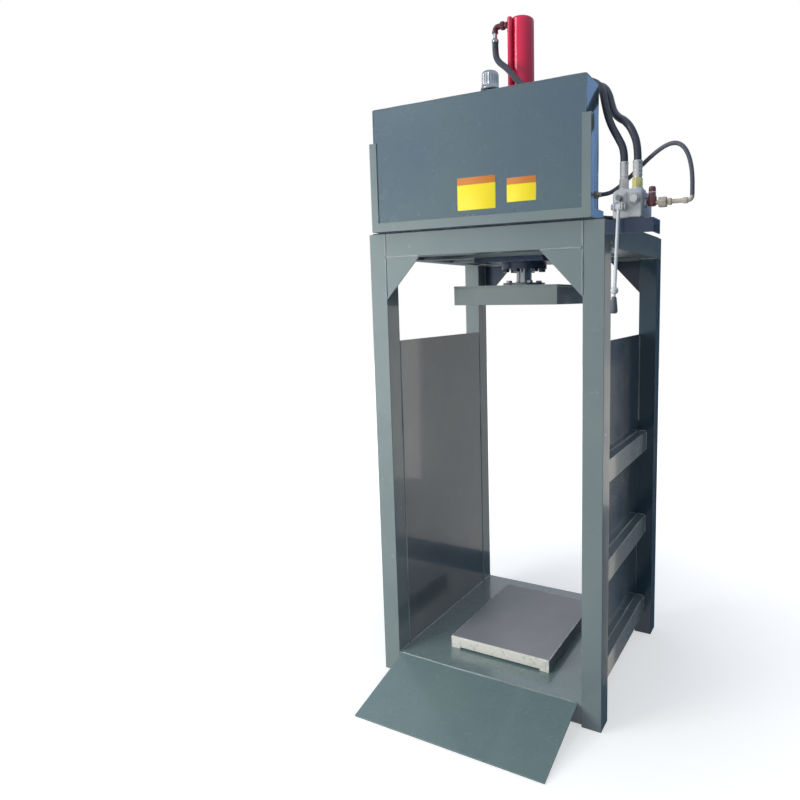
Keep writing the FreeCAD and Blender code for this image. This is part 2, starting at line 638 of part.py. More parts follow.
def build_tank():
    """Sheet-steel oil tank with a filler neck, and the vented cap that twists off it."""
    outside = box("tank_outside", ("-tank_width / 2", "tank_front", TANK_Z),
                  ("tank_width", "tank_depth", "tank_height"))
    inside = box("tank_inside", ("-tank_width / 2 + tank_wall", "tank_front + tank_wall",
                                 f"{TANK_Z} + tank_wall"),
                 ("tank_width - 2 * tank_wall", "tank_depth - 2 * tank_wall",
                  "tank_height - 2 * tank_wall"))
    neck = rod("neck_outside", "neck_diameter / 2", "neck_height + tank_wall",
               ("neck_side", NECK_Y, f"{TANK_TOP} - tank_wall"))
    throat = rod("neck_inside", "neck_diameter / 2 - tank_wall", "neck_height + tank_wall + 2",
                 ("neck_side", NECK_Y, f"{TANK_TOP} - tank_wall - 1"))
    node(cut("tank", fuse("tank_body", outside, neck), inside, throat), "oil_tank")

    outer = "(breather_diameter / 2)"
    plug = "(neck_diameter / 2 - tank_wall - bolt_play)"
    rise = "(breather_height + 0.4)"
    cap = turned("breather", [("0", "-neck_height + 2"), (plug, "-neck_height + 2"), (plug, "0.4"),
                              (f"{outer} + 3", "0.4"), (f"{outer} + 3", "6"), (outer, "8"),
                              (outer, f"{rise} - 9"), (f"{outer} - 3", f"{rise} - 3"),
                              (f"{outer} - 9", rise), ("0", rise)],
                 ("neck_side", NECK_Y, NECK_TOP))
    node(cap, "breather_cap")


# ---- motor and gear pump ----------------------------------------------------

MOTOR_Z = f"({DECK_Z} + motor_lift)"
MOTOR_RIGHT = "(motor_left + motor_length)"
BELL_RIGHT = f"({MOTOR_RIGHT} + bell_length)"
PUMP_RIGHT = f"({BELL_RIGHT} + pump_width)"
GEAR_SPACING = "(gear_teeth * gear_module)"
SHAFT = "(shaft_diameter / 2)"


def build_motor():
    """Foot-mounted electric motor lying behind the tank, with its rotor shaft."""
    axis = ("motor_side", MOTOR_Z)
    shell = rod("motor_shell", "motor_radius", "motor_length", ("motor_left", *axis), "x")
    foot = box("motor_foot", ("motor_left + 40", "motor_side - motor_radius", DECK_Z),
               ("motor_length - 80", "2 * motor_radius", "motor_lift - motor_radius + 24"))
    chamber = rod("motor_chamber", "motor_radius - 12", "motor_length - 24",
                  ("motor_left + 12", *axis), "x")
    bearing = rod("motor_bearing", f"{SHAFT} + running_play", "motor_length + 2",
                  ("motor_left - 1", *axis), "x")
    node(cut("motor", fuse("motor_case", shell, foot), chamber, bearing), "motor_housing")

    cover = rod("fan_shell", "motor_radius - 3", "fan_cover_length",
                ("motor_left - fan_cover_length", *axis), "x")
    hollow = rod("fan_hollow", "motor_radius - 5", "fan_cover_length",
                 ("motor_left - fan_cover_length + 3", *axis), "x")
    grille = [rod(f"fan_slot_{ring}", f"motor_radius - 18 - {14 * ring}", "6",
                  ("motor_left - fan_cover_length - 1", *axis), "x") for ring in range(4)]
    rims = [cut("fan_ring_a", grille[0], grille[1]), cut("fan_ring_b", grille[2], grille[3])]
    spoke = box("fan_spoke", ("motor_left - fan_cover_length", "motor_side - motor_radius + 6",
                              f"{MOTOR_Z} - 5"), ("3", "2 * motor_radius - 12", "10"))
    node(fuse("fan_case", cut("fan_cup", cover, hollow, *rims), spoke), "fan_cover")

    shaft = rod("shaft_bar", SHAFT, "motor_length + 12 + bell_length - 8",
                ("motor_left - 12", *axis), "x")
    core = rod("rotor_core", "motor_radius - 24", "motor_length - 48",
               ("motor_left + 24", *axis), "x")
    coupling = rod("coupling", "shaft_diameter", "bell_length - 26", (f"{MOTOR_RIGHT} + 9", *axis),
                   "x")
    fan_hub = rod("fan_hub", "shaft_diameter", "14", ("motor_left - 26", *axis), "x")
    blades = [box("fan_blade_up", ("motor_left - 26", "motor_side - 2",
                                   f"{MOTOR_Z} - motor_radius + 20"),
                  ("14", "4", "2 * motor_radius - 40")),
              box("fan_blade_across", ("motor_left - 26", "motor_side - motor_radius + 20",
                                       f"{MOTOR_Z} - 2"),
                  ("14", "2 * motor_radius - 40", "4"))]
    node(fuse("rotor", shaft, core, coupling, fan_hub, *blades), "motor_rotor")

    lid = box("terminal_case", ("motor_left + 90", "motor_side - 42",
                                f"{MOTOR_Z} + motor_radius - 6"), ("92", "84", "44"))
    round_seat = rod("terminal_seat", "motor_radius", "motor_length", ("motor_left", *axis), "x")
    node(cut("terminal", lid, round_seat), "terminal_box")
    inlet = hexagon("gland_hex", "24", "10", ("motor_left + 136", "motor_side + 42",
                                              f"{MOTOR_Z} + motor_radius + 16"), "y")
    tail = cone("gland_tail", "11", "8", "16", ("motor_left + 136", "motor_side + 52",
                                                f"{MOTOR_Z} + motor_radius + 16"), "y")
    bore = rod("gland_way", "5", "30", ("motor_left + 136", "motor_side + 41",
                                        f"{MOTOR_Z} + motor_radius + 16"), "y")
    node(cut("cable_inlet", fuse("gland_solid", inlet, tail), bore), "cable_gland")


def build_pump():
    """Bell housing and gear pump on the motor's right end, with the pump's two gears."""
    axis = ("motor_side", MOTOR_Z)
    flange = rod("bell_flange", "motor_radius", "8", (MOTOR_RIGHT, *axis), "x")
    bell = rod("bell_outside", "bell_radius", "bell_length", (MOTOR_RIGHT, *axis), "x")
    inside = rod("bell_inside", "bell_radius - 8", "bell_length - 6", (f"{MOTOR_RIGHT} - 1", *axis),
                 "x")
    eye = rod("bell_eye", f"{SHAFT} - 4", "bell_length + 2", (f"{MOTOR_RIGHT} - 1", *axis), "x")
    node(cut("bell", fuse("bell_solid", flange, bell), inside, eye), "bell_housing")

    idler_z = f"({MOTOR_Z} - {GEAR_SPACING})"
    tip = f"({GEAR_SPACING} / 2 + gear_module + 0.25)"
    middle = f"({MOTOR_Z} - {GEAR_SPACING} / 2)"
    case = box("pump_case", (BELL_RIGHT, "motor_side - pump_side / 2",
                             f"{middle} - pump_height / 2"),
               ("pump_width", "pump_side", "pump_height"))
    pocket_x = f"{BELL_RIGHT} + (pump_width - gear_length) / 2 - 0.3"
    pockets = [rod(f"pump_pocket_{name}", tip, "gear_length + 0.6",
                   (pocket_x, "motor_side", z), "x")
               for name, z in (("drive", MOTOR_Z), ("idler", idler_z))]
    journal = f"({SHAFT} - 5)"
    ways = [rod("pump_way_drive", f"{journal} + running_play", "pump_width - 8",
                (f"{BELL_RIGHT} - 1", "motor_side", MOTOR_Z), "x"),
            rod("pump_way_idler", f"{journal} + running_play", "pump_width - 16",
                (f"{BELL_RIGHT} + 8", "motor_side", idler_z), "x")]
    outlet = rod("pump_outlet", "pressure_diameter / 2 - 2", "pump_side / 2",
                 (f"{BELL_RIGHT} + pump_width / 2", "motor_side - pump_side / 2 - 1", middle), "y")
    node(cut("pump", case, *pockets, *ways, outlet), "pump_body")

    for name, z, phase, start, length in (
            ("drive", MOTOR_Z, 0, f"{BELL_RIGHT} - 7.5", "pump_width - 3"),
            ("idler", idler_z, 0.5, f"{BELL_RIGHT} + 9", "pump_width - 18")):
        node(build_gear(name, z, phase, start, length, journal), f"pump_gear_{name}")


def build_gear(name, z, phase, start, length, journal):
    """Spur gear on its journal shaft; its teeth are straight-sided with a gap each side."""
    teeth = int(SIZE["gear_teeth"])
    root = f"({GEAR_SPACING} / 2 - gear_module * 1.2)"
    pieces = [rod(f"gear_{name}_core", root, "gear_length",
                  (f"{BELL_RIGHT} + (pump_width - gear_length) / 2", "motor_side", z), "x"),
              rod(f"gear_{name}_shaft", journal, length, (start, "motor_side", z), "x")]
    for tooth in range(teeth):
        angle = 360 * (tooth + phase) / teeth + 90
        pieces.append(gear_tooth(f"gear_{name}_tooth_{tooth + 1}", angle, z))
    return fuse(f"gear_{name}", *pieces)


def gear_tooth(name, angle, z):
    """Tapered tooth, wide at the root, that stands out from the gear's axis."""
    body = doc.addObject("PartDesign::Body", name)
    pad = body.newObject("PartDesign::Pad", name + "_pad")
    root = f"({GEAR_SPACING} / 2 - gear_module * 1.25)"
    tip = f"({GEAR_SPACING} / 2 + gear_module * 0.9)"
    wide = "(gear_module * 0.95)"
    narrow = "(gear_module * 0.3)"
    outline = [(f"-{wide}", root), (wide, root), (narrow, tip), (f"-{narrow}", tip)]
    pad.Profile = sketch_on(body, "YZ_Plane", outline)
    bind(pad, "Length", "gear_length")
    body.Placement = FreeCAD.Placement(Vector(0, 0, 0), FreeCAD.Rotation(Vector(1, 0, 0), angle - 90))
    return place(body, (f"{BELL_RIGHT} + (pump_width - gear_length) / 2", "motor_side", z))


# ---- control valve ----------------------------------------------------------

VALVE_MID = "(frame_width / 2 + valve_outset)"
VALVE_X = f"({VALVE_MID} - valve_width / 2)"
VALVE_Z = "frame_height - bracket_thick"
VALVE_TOP = f"({VALVE_Z} + valve_height)"
VALVE_BACK = "(valve_front + valve_depth)"
LEVER_X = f"({VALVE_MID} - lever_offset)"
SPOOL_Z = f"({VALVE_TOP} - spool_drop)"
PIVOT_Y = "(valve_front - lever_reach)"
PIVOT_Z = f"({SPOOL_Z} - lever_arm)"
WORK_Y = "(valve_front + 32)"
SUCTION_Z = "(frame_height + suction_lift)"
RELIEF_X = f"({VALVE_MID} + valve_width / 2 + 17)"


def build_valve():
    """Bracket on the post, valve body with the lever's clevis, spool and relief valve."""
    edge = HALF_X
    front = f"-{HALF_Y}"
    shelf_z = f"({VALVE_Z} - bracket_thick)"
    leg = box("bracket_leg_plate", (edge, front, f"{VALVE_Z} - bracket_leg"),
              ("bracket_length", "bracket_thick", "bracket_leg"))
    shelf = box("bracket_shelf", (edge, front, shelf_z),
                ("bracket_length", "bracket_depth", "bracket_thick"))
    brace = box("bracket_end", (f"{edge} + bracket_length - bracket_thick", front,
                                f"{VALVE_Z} - bracket_leg"),
                ("bracket_thick", "bracket_depth", "bracket_leg"))
    node(fuse("bracket", leg, shelf, brace), "valve_bracket")

    body = box("valve_block", (VALVE_X, "valve_front", VALVE_Z),
               ("valve_width", "valve_depth", "valve_height"))
    ear_w = "7"
    ear_gap = "(lever_diameter + 5)"
    ears = []
    for side, low in (("left", f"{LEVER_X} - {ear_gap} / 2 - {ear_w}"),
                      ("right", f"{LEVER_X} + {ear_gap} / 2")):
        ears.append(box(f"ear_{side}", (low, f"{PIVOT_Y} - 9", f"{PIVOT_Z} - 9"),
                        (ear_w, "lever_reach + 9", "18")))
    pin = rod("pivot_pin", "pin_diameter / 2", f"{ear_gap} + 2 * {ear_w} + 6",
              (f"{LEVER_X} - {ear_gap} / 2 - {ear_w} - 3", PIVOT_Y, PIVOT_Z), "x")
    way = rod("spool_way", "spool_diameter / 2 + running_play", "valve_depth + 2",
              (LEVER_X, "valve_front - 1", SPOOL_Z), "y")
    ports = [rod(f"work_port_{side}", "hose_diameter / 2 - 4", "valve_height / 2",
                 (f"{VALVE_MID} + ({sign} * port_spacing / 2)", WORK_Y,
                  f"{VALVE_TOP} - valve_height / 4"))
             for side, sign in (("a", -1), ("b", 1))]
    node(cut("valve", fuse("valve_solid", body, *ears, pin), way, *ports), "valve_body")

    run = "(valve_depth + lever_reach + 13)"
    bar = rod("spool_bar", "spool_diameter / 2", run,
              (LEVER_X, f"{PIVOT_Y} - 7", SPOOL_Z), "y")
    slot = box("spool_slot", (f"{LEVER_X} - spool_diameter", f"{PIVOT_Y} - 4.35",
                              f"{SPOOL_Z} - spool_diameter"),
               ("2 * spool_diameter", "8.7", "spool_diameter * 1.35"))
    lands = [cut(f"spool_groove_{index}",
                 rod(f"groove_out_{index}", "spool_diameter", "12", (LEVER_X, start, SPOOL_Z), "y"),
                 rod(f"groove_in_{index}", "spool_diameter / 2 - 3", "12",
                     (LEVER_X, start, SPOOL_Z), "y"))
             for index, start in enumerate(("valve_front + 26", "valve_front + 62"))]
    node(cut("spool", bar, slot, *lands), "valve_spool")

    stub_x = f"({VALVE_MID} + valve_width / 2)"
    low = f"{VALVE_TOP} - 46"
    arm = rod("relief_arm", "7", "17", (stub_x, WORK_Y, f"{low} + 12"), "x")
    upright = rod("relief_barrel", "9", "34", (RELIEF_X, WORK_Y, low))
    cap = hexagon("relief_cap", "17", "12", (RELIEF_X, WORK_Y, f"{low} + 34"))
    node(fuse("relief", arm, upright, cap), "relief_valve")


def build_lever():
    """Hand lever on its pivot pin: boss, finger that drives the spool, rod and nut; knob."""
    eye = "(pin_diameter / 2 + running_play)"
    wide = "(lever_diameter + 4)"
    boss = rod("lever_boss", "9", wide, (f"{LEVER_X} - {wide} / 2", PIVOT_Y, PIVOT_Z), "x")
    hole = rod("lever_eye", eye, "40", (f"{LEVER_X} - 20", PIVOT_Y, PIVOT_Z), "x")
    finger = rod("lever_finger", "2", "lever_arm - 7", (LEVER_X, PIVOT_Y, f"{PIVOT_Z} + 7"))
    tip = ball("lever_ball", "4", (LEVER_X, PIVOT_Y, SPOOL_Z))
    lean = FreeCAD.Rotation(Vector(1, 0, 0), -amount("lever_tilt"))
    bar = doc.addObject("Part::Cylinder", "lever_rod")
    bind(bar, "Radius", "lever_diameter / 2")
    bind(bar, "Height", "lever_length - 7")
    nut = doc.addObject("Part::Sphere", "lever_nut")
    bind(nut, "Radius", "lever_diameter / 2 + 5.5")
    stud = doc.addObject("Part::Cylinder", "lever_stud")
    bind(stud, "Radius", "lever_diameter / 2 - 1")
    bind(stud, "Height", "24")
    for piece, reach in ((bar, "lever_length"), (nut, "(lever_length + 6)"),
                         (stud, "(lever_length + 32)")):
        piece.Placement.Rotation = lean
        place(piece, (LEVER_X, f"{PIVOT_Y} - {reach} * sin(lever_tilt)",
                      f"{PIVOT_Z} - {reach} * cos(lever_tilt)"))
    node(cut("lever", fuse("lever_solid", boss, finger, tip, bar, nut, stud), hole), "valve_lever")

    start = "(lever_length + 22)"
    knob_long = 42
    knob = turned("knob", [("0", "0"), ("5", "0"), ("6.5", "-2"), ("11", f"-{knob_long - 7}"),
                           ("10", f"-{knob_long - 2}"), ("6", f"-{knob_long}"),
                           ("0", f"-{knob_long}")], ("0", "0", "0"))
    knob.Placement = FreeCAD.Placement(Vector(0, 0, 0), lean)
    place(knob, (LEVER_X, f"{PIVOT_Y} - {start} * sin(lever_tilt)",
                 f"{PIVOT_Z} - {start} * cos(lever_tilt)"))
    socket = doc.addObject("Part::Cylinder", "knob_socket")
    bind(socket, "Radius", "lever_diameter / 2 - 1")
    bind(socket, "Height", "24")
    socket.Placement.Rotation = lean
    place(socket, (LEVER_X, f"{PIVOT_Y} - (lever_length + 32) * sin(lever_tilt)",
                   f"{PIVOT_Z} - (lever_length + 32) * cos(lever_tilt)"))
    node(cut("knob_shell", knob, socket), "lever_knob")


# ---- fittings and hoses -----------------------------------------------------

ELBOW_X = f"({PIPE_X} - 52)"
ELBOW_Y = PIPE_Y
FERRULE_LOW = f"({PORT_Z} - 4 - ferrule_length)"


def build_fittings():
    """Elbows on the cylinder, ferrules on the valve, and the fittings of the other lines."""
    reach = "hose_diameter / 2 - 2"
    side = fuse("side_elbow",
                rod("side_elbow_arm", reach, f"52 - {BLOCK_RADIUS}",
                    (ELBOW_X, ELBOW_Y, PORT_Z), "x"),
                hexagon("side_elbow_nut", "hose_diameter + 2", "14",
                        (f"{ELBOW_X} + 16", ELBOW_Y, PORT_Z), "x"),
                ball("side_elbow_bend", "hose_diameter / 2", (ELBOW_X, ELBOW_Y, PORT_Z)),
                rod("side_elbow_neck", reach, "18", (ELBOW_X, ELBOW_Y, f"{PORT_Z} - 18")),
                rod("side_ferrule", "hose_diameter / 2 + 1", "ferrule_length",
                    (ELBOW_X, ELBOW_Y, FERRULE_LOW)))
    out_x, out_y = polar("barrel_diameter / 2 + 0.3", "port_angle")
    rear = fuse("rear_elbow",
                stub("rear_elbow_arm", reach, f"{PORT_OUT} - barrel_diameter / 2 - 0.3",
                     (out_x, out_y, PORT_Z), "port_angle"),
                ball("rear_elbow_bend", "hose_diameter / 2", (PORT_X, PORT_Y, PORT_Z)),
                rod("rear_elbow_neck", reach, "18", (PORT_X, PORT_Y, f"{PORT_Z} - 18")),
                rod("rear_ferrule", "hose_diameter / 2 + 1", "ferrule_length",
                    (PORT_X, PORT_Y, FERRULE_LOW)))
    node(group("elbows", side, rear), "cylinder_elbows")

    ferrules = []
    for name, sign, wide in (("a", -1, 0), ("b", 1, 2)):
        where = (f"{VALVE_MID} + ({sign} * port_spacing / 2)", WORK_Y)
        ferrules.append(fuse(f"valve_end_{name}",
                             hexagon(f"valve_nut_{name}", f"hose_diameter + 2 + {wide}",
                                     "nut_height", (*where, VALVE_TOP)),
                             rod(f"valve_ferrule_{name}", f"hose_diameter / 2 + {wide} / 2",
                                 "ferrule_length", (*where, f"{VALVE_TOP} + nut_height"))))

    low = f"({VALVE_TOP} - 41)"
    start = f"({RELIEF_X} + 9)"
    turn = (f"{VALVE_MID} + return_reach", WORK_Y, low)
    tail = fuse("return_tail",
                hexagon("return_nut", "24", "20", (f"{start} + 8", WORK_Y, low), "x"),
                rod("return_bar", "6", f"{turn[0]} - {start}", (start, WORK_Y, low), "x"),
                ball("return_bend", "6", turn),
                rod("return_upright", "6", "return_riser", turn))
    opening = ("tank_width / 2", "tank_front + tank_port_inset", "frame_height + tank_port_lift")
    port = fuse("tank_port",
                rod("tank_port_bar", "6", "tank_port_length", opening, "x"),
                hexagon("tank_port_nut", "18", "9", opening, "x"))
    outlet = "(motor_side - pump_side / 2 - pump_port_length)"
    pump_end = rod("pump_end_bar", "pressure_diameter / 2 + 1", "pump_port_length",
                   (f"{BELL_RIGHT} + pump_width / 2", outlet, f"{MOTOR_Z} - pump_port_drop"), "y")
    valve_end = rod("valve_end_bar", "pressure_diameter / 2 + 1", "inlet_length",
                    (VALVE_MID, VALVE_BACK, f"{VALVE_Z} + inlet_lift"), "y")
    node(group("line_ends", *ferrules, tail, port, pump_end, valve_end), "hose_fittings")

    corner = ("suction_side", "motor_side", SUCTION_Z)
    line = fuse("suction_line",
                rod("suction_run", "suction_diameter / 2", f"motor_side - {TANK_BACK}",
                    ("suction_side", TANK_BACK, SUCTION_Z), "y"),
                ball("suction_bend", "suction_diameter / 2", corner),
                rod("suction_leg", "suction_diameter / 2", f"suction_side - {PUMP_RIGHT}",
                    (PUMP_RIGHT, "motor_side", SUCTION_Z), "x"))
    node(line, "suction_pipe")


# Hose routes: corner points chosen by hand, rounded by tangent arcs.
SIDE_ROUTE = [
    (-75.5, -40.7, 2046), (-75.5, -40.7, 2012), (-61.9, -47.3, 1978.9), (-37.6, -59.9, 1952),
    (-7.1, -75.4, 1929.1), (27, -92, 1909.6), (63.6, -108.9, 1893.4), (102, -125.8, 1879.8),
    (141.5, -142.2, 1868), (181.3, -158.2, 1856.7), (220.3, -173.6, 1844.5),
    (257.6, -188.8, 1829.9), (291.9, -204.1, 1811.2), (322.2, -219.8, 1786.8),
    (347.9, -236.5, 1756.8), (370.9, -254.1, 1723.4), (391.8, -270.5, 1687.9),
    (409.3, -283.4, 1650.8), (419.5, -290, 1611), (419.5, -290, 1583),
]
REAR_ROUTE = [
    (-25.9, 50.8, 2046), (-25.9, 50.8, 2012), (-16.2, 56.8, 1967.6), (4.8, 61.7, 1928.4),
    (34.4, 59.1, 1896.6), (68.6, 47.3, 1873.2), (104.6, 28.1, 1857.3), (141.2, 3.2, 1846.8),
    (177.8, -25.9, 1839.4), (213.4, -57.7, 1833), (247.6, -91, 1825.4), (280, -124.4, 1815.1),
    (310.4, -157, 1800.2), (338.7, -187.5, 1779.6), (365.8, -215.4, 1753.7),
    (393.3, -240.4, 1723.9), (420.2, -262.9, 1691.6), (442.6, -280.8, 1655.7),
    (454.5, -290, 1614), (454.5, -290, 1583),
]
RETURN_ROUTE = [
    (592, -290, 1486), (592, -290, 1506), (591.1, -290, 1531.6), (587.9, -289.5, 1557.3),
    (581.4, -288.1, 1581.8), (570.6, -285.6, 1602.8), (554.8, -282, 1616.3),
    (534.9, -277.4, 1619.2), (513.3, -272.5, 1612.9), (491.6, -267.9, 1600.6),
    (470.8, -264.3, 1585.7), (450.9, -262, 1569.5), (431.5, -261.3, 1553.1),
    (412.3, -263, 1536.8), (392.9, -266.6, 1521.2), (372, -270, 1510), (354, -270, 1510),
]
PRESSURE_ROUTE = [
    (52, 126, 1526), (52, 80.3, 1526), (68.1, 43.9, 1521.9), (98.1, 15.5, 1514.6),
    (139, -6.6, 1505.3), (187.5, -24.4, 1495.3), (240.1, -39.9, 1485.5), (293.4, -55.4, 1476.4),
    (343.5, -72.9, 1468.6), (386.8, -94.5, 1462.5), (419.3, -122.3, 1458.2), (437, -158.3, 1456),
    (437, -204, 1456),
]


def hose(name, route, diameter):
    """Round hose swept along straight runs that are joined by tangent arcs."""
    points = [Vector(*point) for point in route]
    edges = []
    radii = []
    start = points[0]
    for before, corner, after in zip(points, points[1:], points[2:]):
        towards = (before - corner).normalize()
        onwards = (after - corner).normalize()
        half_turn = (math.pi - towards.getAngle(onwards)) / 2
        setback = 0.45 * min((before - corner).Length, (after - corner).Length)
        radius = setback / math.tan(half_turn)
        enter = corner + towards * setback
        leave = corner + onwards * setback
        middle_way = (towards + onwards).normalize()
        middle = corner + middle_way * (radius / math.cos(half_turn) - radius)
        edges.append(Part.LineSegment(start, enter).toShape())
        edges.append(Part.Arc(enter, middle, leave).toShape())
        radii.append(radius)
        start = leave
    edges.append(Part.LineSegment(start, points[-1]).toShape())
    path = Part.Wire(edges)
    direction = (points[1] - points[0]).normalize()
    circle = Part.Wire(Part.makeCircle(diameter / 2, points[0], direction))
    solid = path.makePipeShell([circle], True, True)
    expected = math.pi * diameter ** 2 / 4 * path.Length
    print(f"{name}: length {path.Length:.0f} mm, tightest bend {min(radii):.0f} mm, "
          f"volume over section times length {solid.Volume / expected:.4f}")
    feature = doc.addObject("Part::Feature", name + "_tube")
    feature.Shape = solid
    return node(feature, name)


def build_hoses():
    """The two ram hoses, the thin return hose and the pump's pressure hose."""
    hose("ram_hose_side", SIDE_ROUTE, SIZE["hose_diameter"])
    hose("ram_hose_rear", REAR_ROUTE, SIZE["hose_diameter"])
    hose("return_hose", RETURN_ROUTE, SIZE["return_diameter"])
    hose("pressure_hose", PRESSURE_ROUTE, SIZE["pressure_diameter"])


# ---- build, check and write -------------------------------------------------

build_frame()
build_caps()
build_gussets()
build_sides()
build_floor()
build_cylinder_seat()
build_cylinder()
build_transfer_pipe()
build_ram()
build_deck()
build_cradle()
build_tank()
build_motor()
build_pump()
build_valve()
build_lever()
build_fittings()
build_hoses()
doc.recompute()

for thing in doc.Objects:
    if "Invalid" in thing.State or "Error" in thing.State:
        raise RuntimeError(f"{thing.Label} failed: {thing.State}")
labels = [thing.Label for thing in NODES]
if len(set(labels)) != len(labels):
    raise RuntimeError("two sub-parts share a name")
for thing in NODES:
    if thing.Shape.isNull() or not thing.Shape.isValid() or not thing.Shape.Solids:
        raise RuntimeError(f"{thing.Label} has no valid solid")

os.makedirs("parts", exist_ok=True)
for thing in NODES:
    thing.Shape.exportStep(os.path.join("parts", thing.Label + ".step"))
print(f"{len(NODES)} sub-parts written")
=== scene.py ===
import json
import math

import bmesh
import bpy
import numpy as np
from mathutils import Matrix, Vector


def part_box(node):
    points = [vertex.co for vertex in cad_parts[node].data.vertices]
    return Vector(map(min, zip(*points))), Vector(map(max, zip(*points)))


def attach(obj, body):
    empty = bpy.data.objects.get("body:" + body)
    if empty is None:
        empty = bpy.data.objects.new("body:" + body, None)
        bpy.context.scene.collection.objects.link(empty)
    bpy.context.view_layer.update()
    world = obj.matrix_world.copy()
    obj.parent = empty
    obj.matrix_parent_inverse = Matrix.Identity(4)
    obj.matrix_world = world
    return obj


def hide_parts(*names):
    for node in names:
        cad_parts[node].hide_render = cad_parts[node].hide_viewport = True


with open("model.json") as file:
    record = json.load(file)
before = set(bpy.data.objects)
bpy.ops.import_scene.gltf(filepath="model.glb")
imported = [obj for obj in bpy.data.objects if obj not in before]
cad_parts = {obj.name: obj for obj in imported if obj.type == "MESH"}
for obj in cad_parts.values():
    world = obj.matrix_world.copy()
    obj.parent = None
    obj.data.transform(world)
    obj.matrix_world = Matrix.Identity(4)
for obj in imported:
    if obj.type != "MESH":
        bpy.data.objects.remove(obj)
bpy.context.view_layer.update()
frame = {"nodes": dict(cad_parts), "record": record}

# Upright recycling baler. The surfaces are worked out in millimetres, and piece() makes them metres.
MM = 0.001
scene = bpy.context.scene


# ---- camera -----------------------------------------------------------------

CAMERA_PLACE = (0.8842, -1.9204, 1.2355)
CAMERA_TURN = (26.533, -7.123, -0.700)
CAMERA_LENS = 28.18
CAMERA_SHIFT = (-0.1317, -0.0276)


def set_camera():
    """Camera at chest height, front right of the machine, turned by yaw, pitch and roll."""
    yaw, pitch, roll = np.radians(CAMERA_TURN)
    level = np.array([-np.sin(yaw), np.cos(yaw), 0.0])
    right = np.array([np.cos(yaw), np.sin(yaw), 0.0])
    up = np.array([0.0, 0.0, 1.0])
    ahead = level * np.cos(pitch) + up * np.sin(pitch)
    over = up * np.cos(pitch) - level * np.sin(pitch)
    side = right * np.cos(roll) + over * np.sin(roll)
    top = over * np.cos(roll) - right * np.sin(roll)
    data = bpy.data.cameras.new("shop_camera")
    data.sensor_width = 36.0
    data.lens = CAMERA_LENS
    data.shift_x, data.shift_y = CAMERA_SHIFT
    camera = bpy.data.objects.new("shop_camera", data)
    scene.collection.objects.link(camera)
    turn = np.eye(4)
    turn[:3, :3] = np.stack([side, top, -ahead], axis=1)
    turn[:3, 3] = CAMERA_PLACE
    camera.matrix_world = Matrix(turn.tolist())
    scene.camera = camera


set_camera()


# ---- shader effects ---------------------------------------------------------

def feed(tree, made, inputs):
    """Sets a node's inputs to numbers or colours, or links them from other nodes' sockets."""
    for key, value in inputs.items():
        if isinstance(value, bpy.types.NodeSocket):
            tree.links.new(value, made.inputs[key])
        else:
            made.inputs[key].default_value = value


def add(tree, kind, inputs=None, **settings):
    """New node with its inputs fed."""
    made = tree.nodes.new("ShaderNode" + kind)
    for key, value in settings.items():
        setattr(made, key, value)
    feed(tree, made, inputs or {})
    return made


def noise(tree, vector, scale, detail, roughness=0.5):
    """Cloud of values round a half."""
    return add(tree, "TexNoise", {"Vector": vector, "Scale": scale, "Detail": detail,
                                  "Roughness": roughness}).outputs["Fac"]


def ramp(tree, value, low, high, bottom=0.0, top=1.0):
    """A value stretched from the span low to high onto the span bottom to top."""
    return add(tree, "MapRange", {"Value": value, "From Min": low, "From Max": high,
                                  "To Min": bottom, "To Max": top}).outputs["Result"]


def reckon(tree, operation, *values):
    """Plain arithmetic on values."""
    return add(tree, "Math", dict(enumerate(values)), operation=operation).outputs[0]


def dot(tree, first, second):
    """How far two directions agree."""
    return add(tree, "VectorMath", {0: first, 1: second}, operation="DOT_PRODUCT").outputs["Value"]


def mixed(tree, share, first, second):
    """Two colours blended by a share of the second."""
    return add(tree, "MixRGB", {"Fac": share, "Color1": first,
                                "Color2": second}).outputs["Color"]


def effect(name, inputs, outputs):
    """Empty node group with named sockets, and its input and output nodes."""
    tree = bpy.data.node_groups.new(name, "ShaderNodeTree")
    for label, kind, value in inputs:
        socket = tree.interface.new_socket(label, in_out="INPUT", socket_type="NodeSocket" + kind)
        if value is not None:
            socket.default_value = value
    for label, kind in outputs:
        tree.interface.new_socket(label, in_out="OUTPUT", socket_type="NodeSocket" + kind)
    return tree, tree.nodes.new("NodeGroupInput").outputs, tree.nodes.new("NodeGroupOutput").inputs


def enamel_effect():
    """Sprayed enamel: slow drift between two tones, gloss that varies, orange peel in the height."""
    tree, given, out = effect(
        "sprayed_enamel",
        [("Vector", "Vector", None), ("Colour", "Color", (1, 1, 1, 1)),
         ("Drift Colour", "Color", (1, 1, 1, 1)), ("Roughness", "Float", 0.25),
         ("Peel Scale", "Float", 260.0)],
        [("Colour", "Color"), ("Roughness", "Float"), ("Height", "Float")])
    spread = ramp(tree, noise(tree, given["Vector"], 3.2, 3.0, 0.55), 0.35, 0.68)
    tone = mixed(tree, spread, given["Colour"], given["Drift Colour"])
    smear = noise(tree, given["Vector"], 17.0, 4.0)
    gloss = reckon(tree, "MULTIPLY_ADD", smear, 0.16, given["Roughness"])
    peel = noise(tree, given["Vector"], given["Peel Scale"], 2.0)
    sag = noise(tree, given["Vector"], 24.0, 1.0)
    tree.links.new(tone, out["Colour"])
    tree.links.new(reckon(tree, "SUBTRACT", gloss, 0.08), out["Roughness"])
    tree.links.new(reckon(tree, "MULTIPLY_ADD", sag, 2.2, peel), out["Height"])
    return tree


